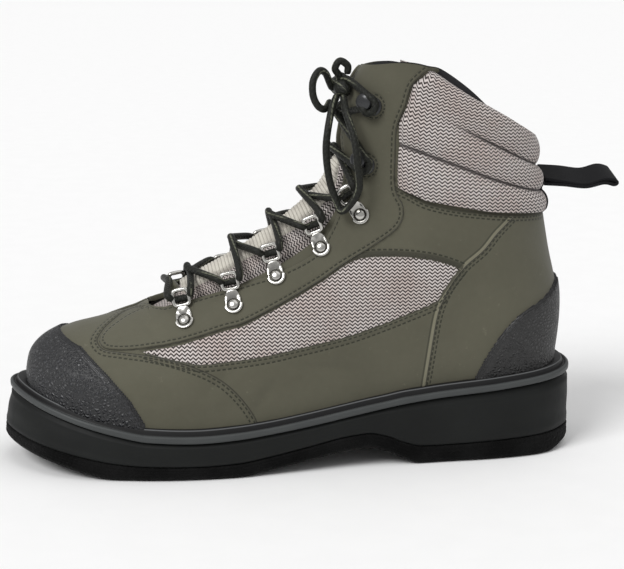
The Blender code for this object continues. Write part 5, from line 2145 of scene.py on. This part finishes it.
def floor() -> None:
    """A pale ground under the boot."""
    bm = bmesh.new()
    bmesh.ops.create_grid(bm, x_segments=1, y_segments=1, size=30.0)
    me = bpy.data.meshes.new("ground")
    bm.to_mesh(me)
    bm.free()
    o = bpy.data.objects.new("ground", me)
    bpy.context.scene.collection.objects.link(o)
    me.materials.append(Plain((0.90, 0.90, 0.90), 0.9, 0.01, 0.0, spread=0.01).make("pale ground"))
    o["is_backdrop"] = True


def main() -> None:
    """Builds the boot's looks piece by piece."""
    logging.basicConfig(level=logging.INFO, format="%(message)s")
    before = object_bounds()
    light_and_camera()
    floor()
    form = Form(SIZES, FORM)
    sole = Sole(SIZES)
    fittings = Fittings(form)
    laces = Laces(form, fittings)
    braid = Braid().make("braided lace")
    laces.cord("bow_loop_long", LOOP_LONG, ["lace_loop_long"], braid)
    knot_way = ((0.4300, -0.048, 0.938), (0.4210, -0.050, 0.947))
    small = (*LOOP_SMALL[::-1], *knot_way, *LOOP_TOP)
    laces.cord("bow_loop_small", small, ["lace_loop_small", "lace_loop_top"], braid)
    for side in Side:
        laces.run(side, braid)
    laces.knot(braid)
    LOG.info("laces built")
    seams = Seams(form)
    LOG.info("seams laid")
    upper = Upper(form, sole, seams)
    nubuck = Leather()
    # the quarter seam's piping gets a painted highlight and painted shade
    upper.shell(nubuck.make("nubuck with seams", (
        Seam("vamp", edge=0.0023, rows=(-1.1 * MM, 1.1 * MM)),
        Seam("low", edge=0.0, edge_wide=0.0012, rows=(1.4 * MM, 3.8 * MM)),
        Seam("top", edge=0.0016, edge_wide=0.0030, rows=(3.8 * MM,)),
        Seam("quarter", edge=0.0011, edge_wide=0.0005, rows=(1.9 * MM, 3.6 * MM)),
        Seam("foot", edge=0.0, edge_wide=0.0014, rows=(-1.4 * MM, -3.0 * MM)),
    ), "quarter"))
    stay = nubuck.make("nubuck panel", (Seam("stay", edge=-0.0002, rows=(1.8 * MM,)),
                                        Seam("throat", edge_wide=0.0, rows=(1.8 * MM,)),
                                        Seam("hook", edge_wide=0.0, rows=(0.0,), pitch=0.00276)))
    knit = Knit().make("knit mesh")
    for side in Side:
        upper.stays(side, stay)
        upper.insert(side, knit)
    upper.cap(Pebbled().make("pebbled cap", (Seam("cap", edge=0.0006, rows=(1.7 * MM, 3.3 * MM)),)))
    upper.counter(Pebbled((0.0115, 0.0112, 0.0112), (0.0038, 0.0037, 0.0037)).make(
        "pebbled counter", (Seam("counter", rows=(1.8 * MM,)),)))
    upper.lining(Plain((0.012, 0.012, 0.014), 0.9, sheen=0.2).make("lining cloth"))
    LOG.info("upper built")
    collar = Collar(form)
    # the collar's knit gets painted shade in its folds
    collar.padding(Knit(folds=True).make("collar mesh"))
    collar.pull(Tape().make("black webbing"))
    LOG.info("collar built")
    tongue = Tongue(form)
    tongue.pad(Knit(pitch=0.0017, wave=0.0019, gap=(0.02, 0.018, 0.016)).make("tongue mesh"))
    tongue.webbing(Ribbed().make("ribbed webbing"))
    tongue.tab(nubuck.make("nubuck tab"))
    bottom = Bottom(form, sole)
    felt = Plain((0.0050, 0.0050, 0.0050), 0.98, 0.0009, 0.0012, sheen=0.04, spread=0.8, shine=0.08)
    rubber = Plain((0.0058, 0.0066, 0.0062), 0.6, 0.0012, 0.00005, spread=0.3, shine=0.22)
    bottom.felt(felt.make("felt"))
    bottom.midsole(rubber.make("moulded midsole"))
    bottom.welt(Rand().make("welt rubber"))
    bottom.footbed(Plain((0.03, 0.03, 0.032), 0.9, sheen=0.2).make("footbed cloth"))
    nickel = Nickel().make("polished nickel")
    dark = Plain((0.035, 0.036, 0.038), 0.30, 0.0006, 0.00001, metal=0.4, spread=0.15).make("black hooks")
    for side in Side:
        for i in range(len(RINGS)):
            fittings.plate(side, i, nickel)
            fittings.ring(side, i, nickel)
        for i in range(len(HOOKS)):
            fittings.hook(side, i, dark)
    LOG.info("fittings built")
    sizes = {"before": before, "after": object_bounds()}
    {k: [list(v) for v in pair] for k, pair in sizes.items()}


if __name__ == "__main__":
    main()
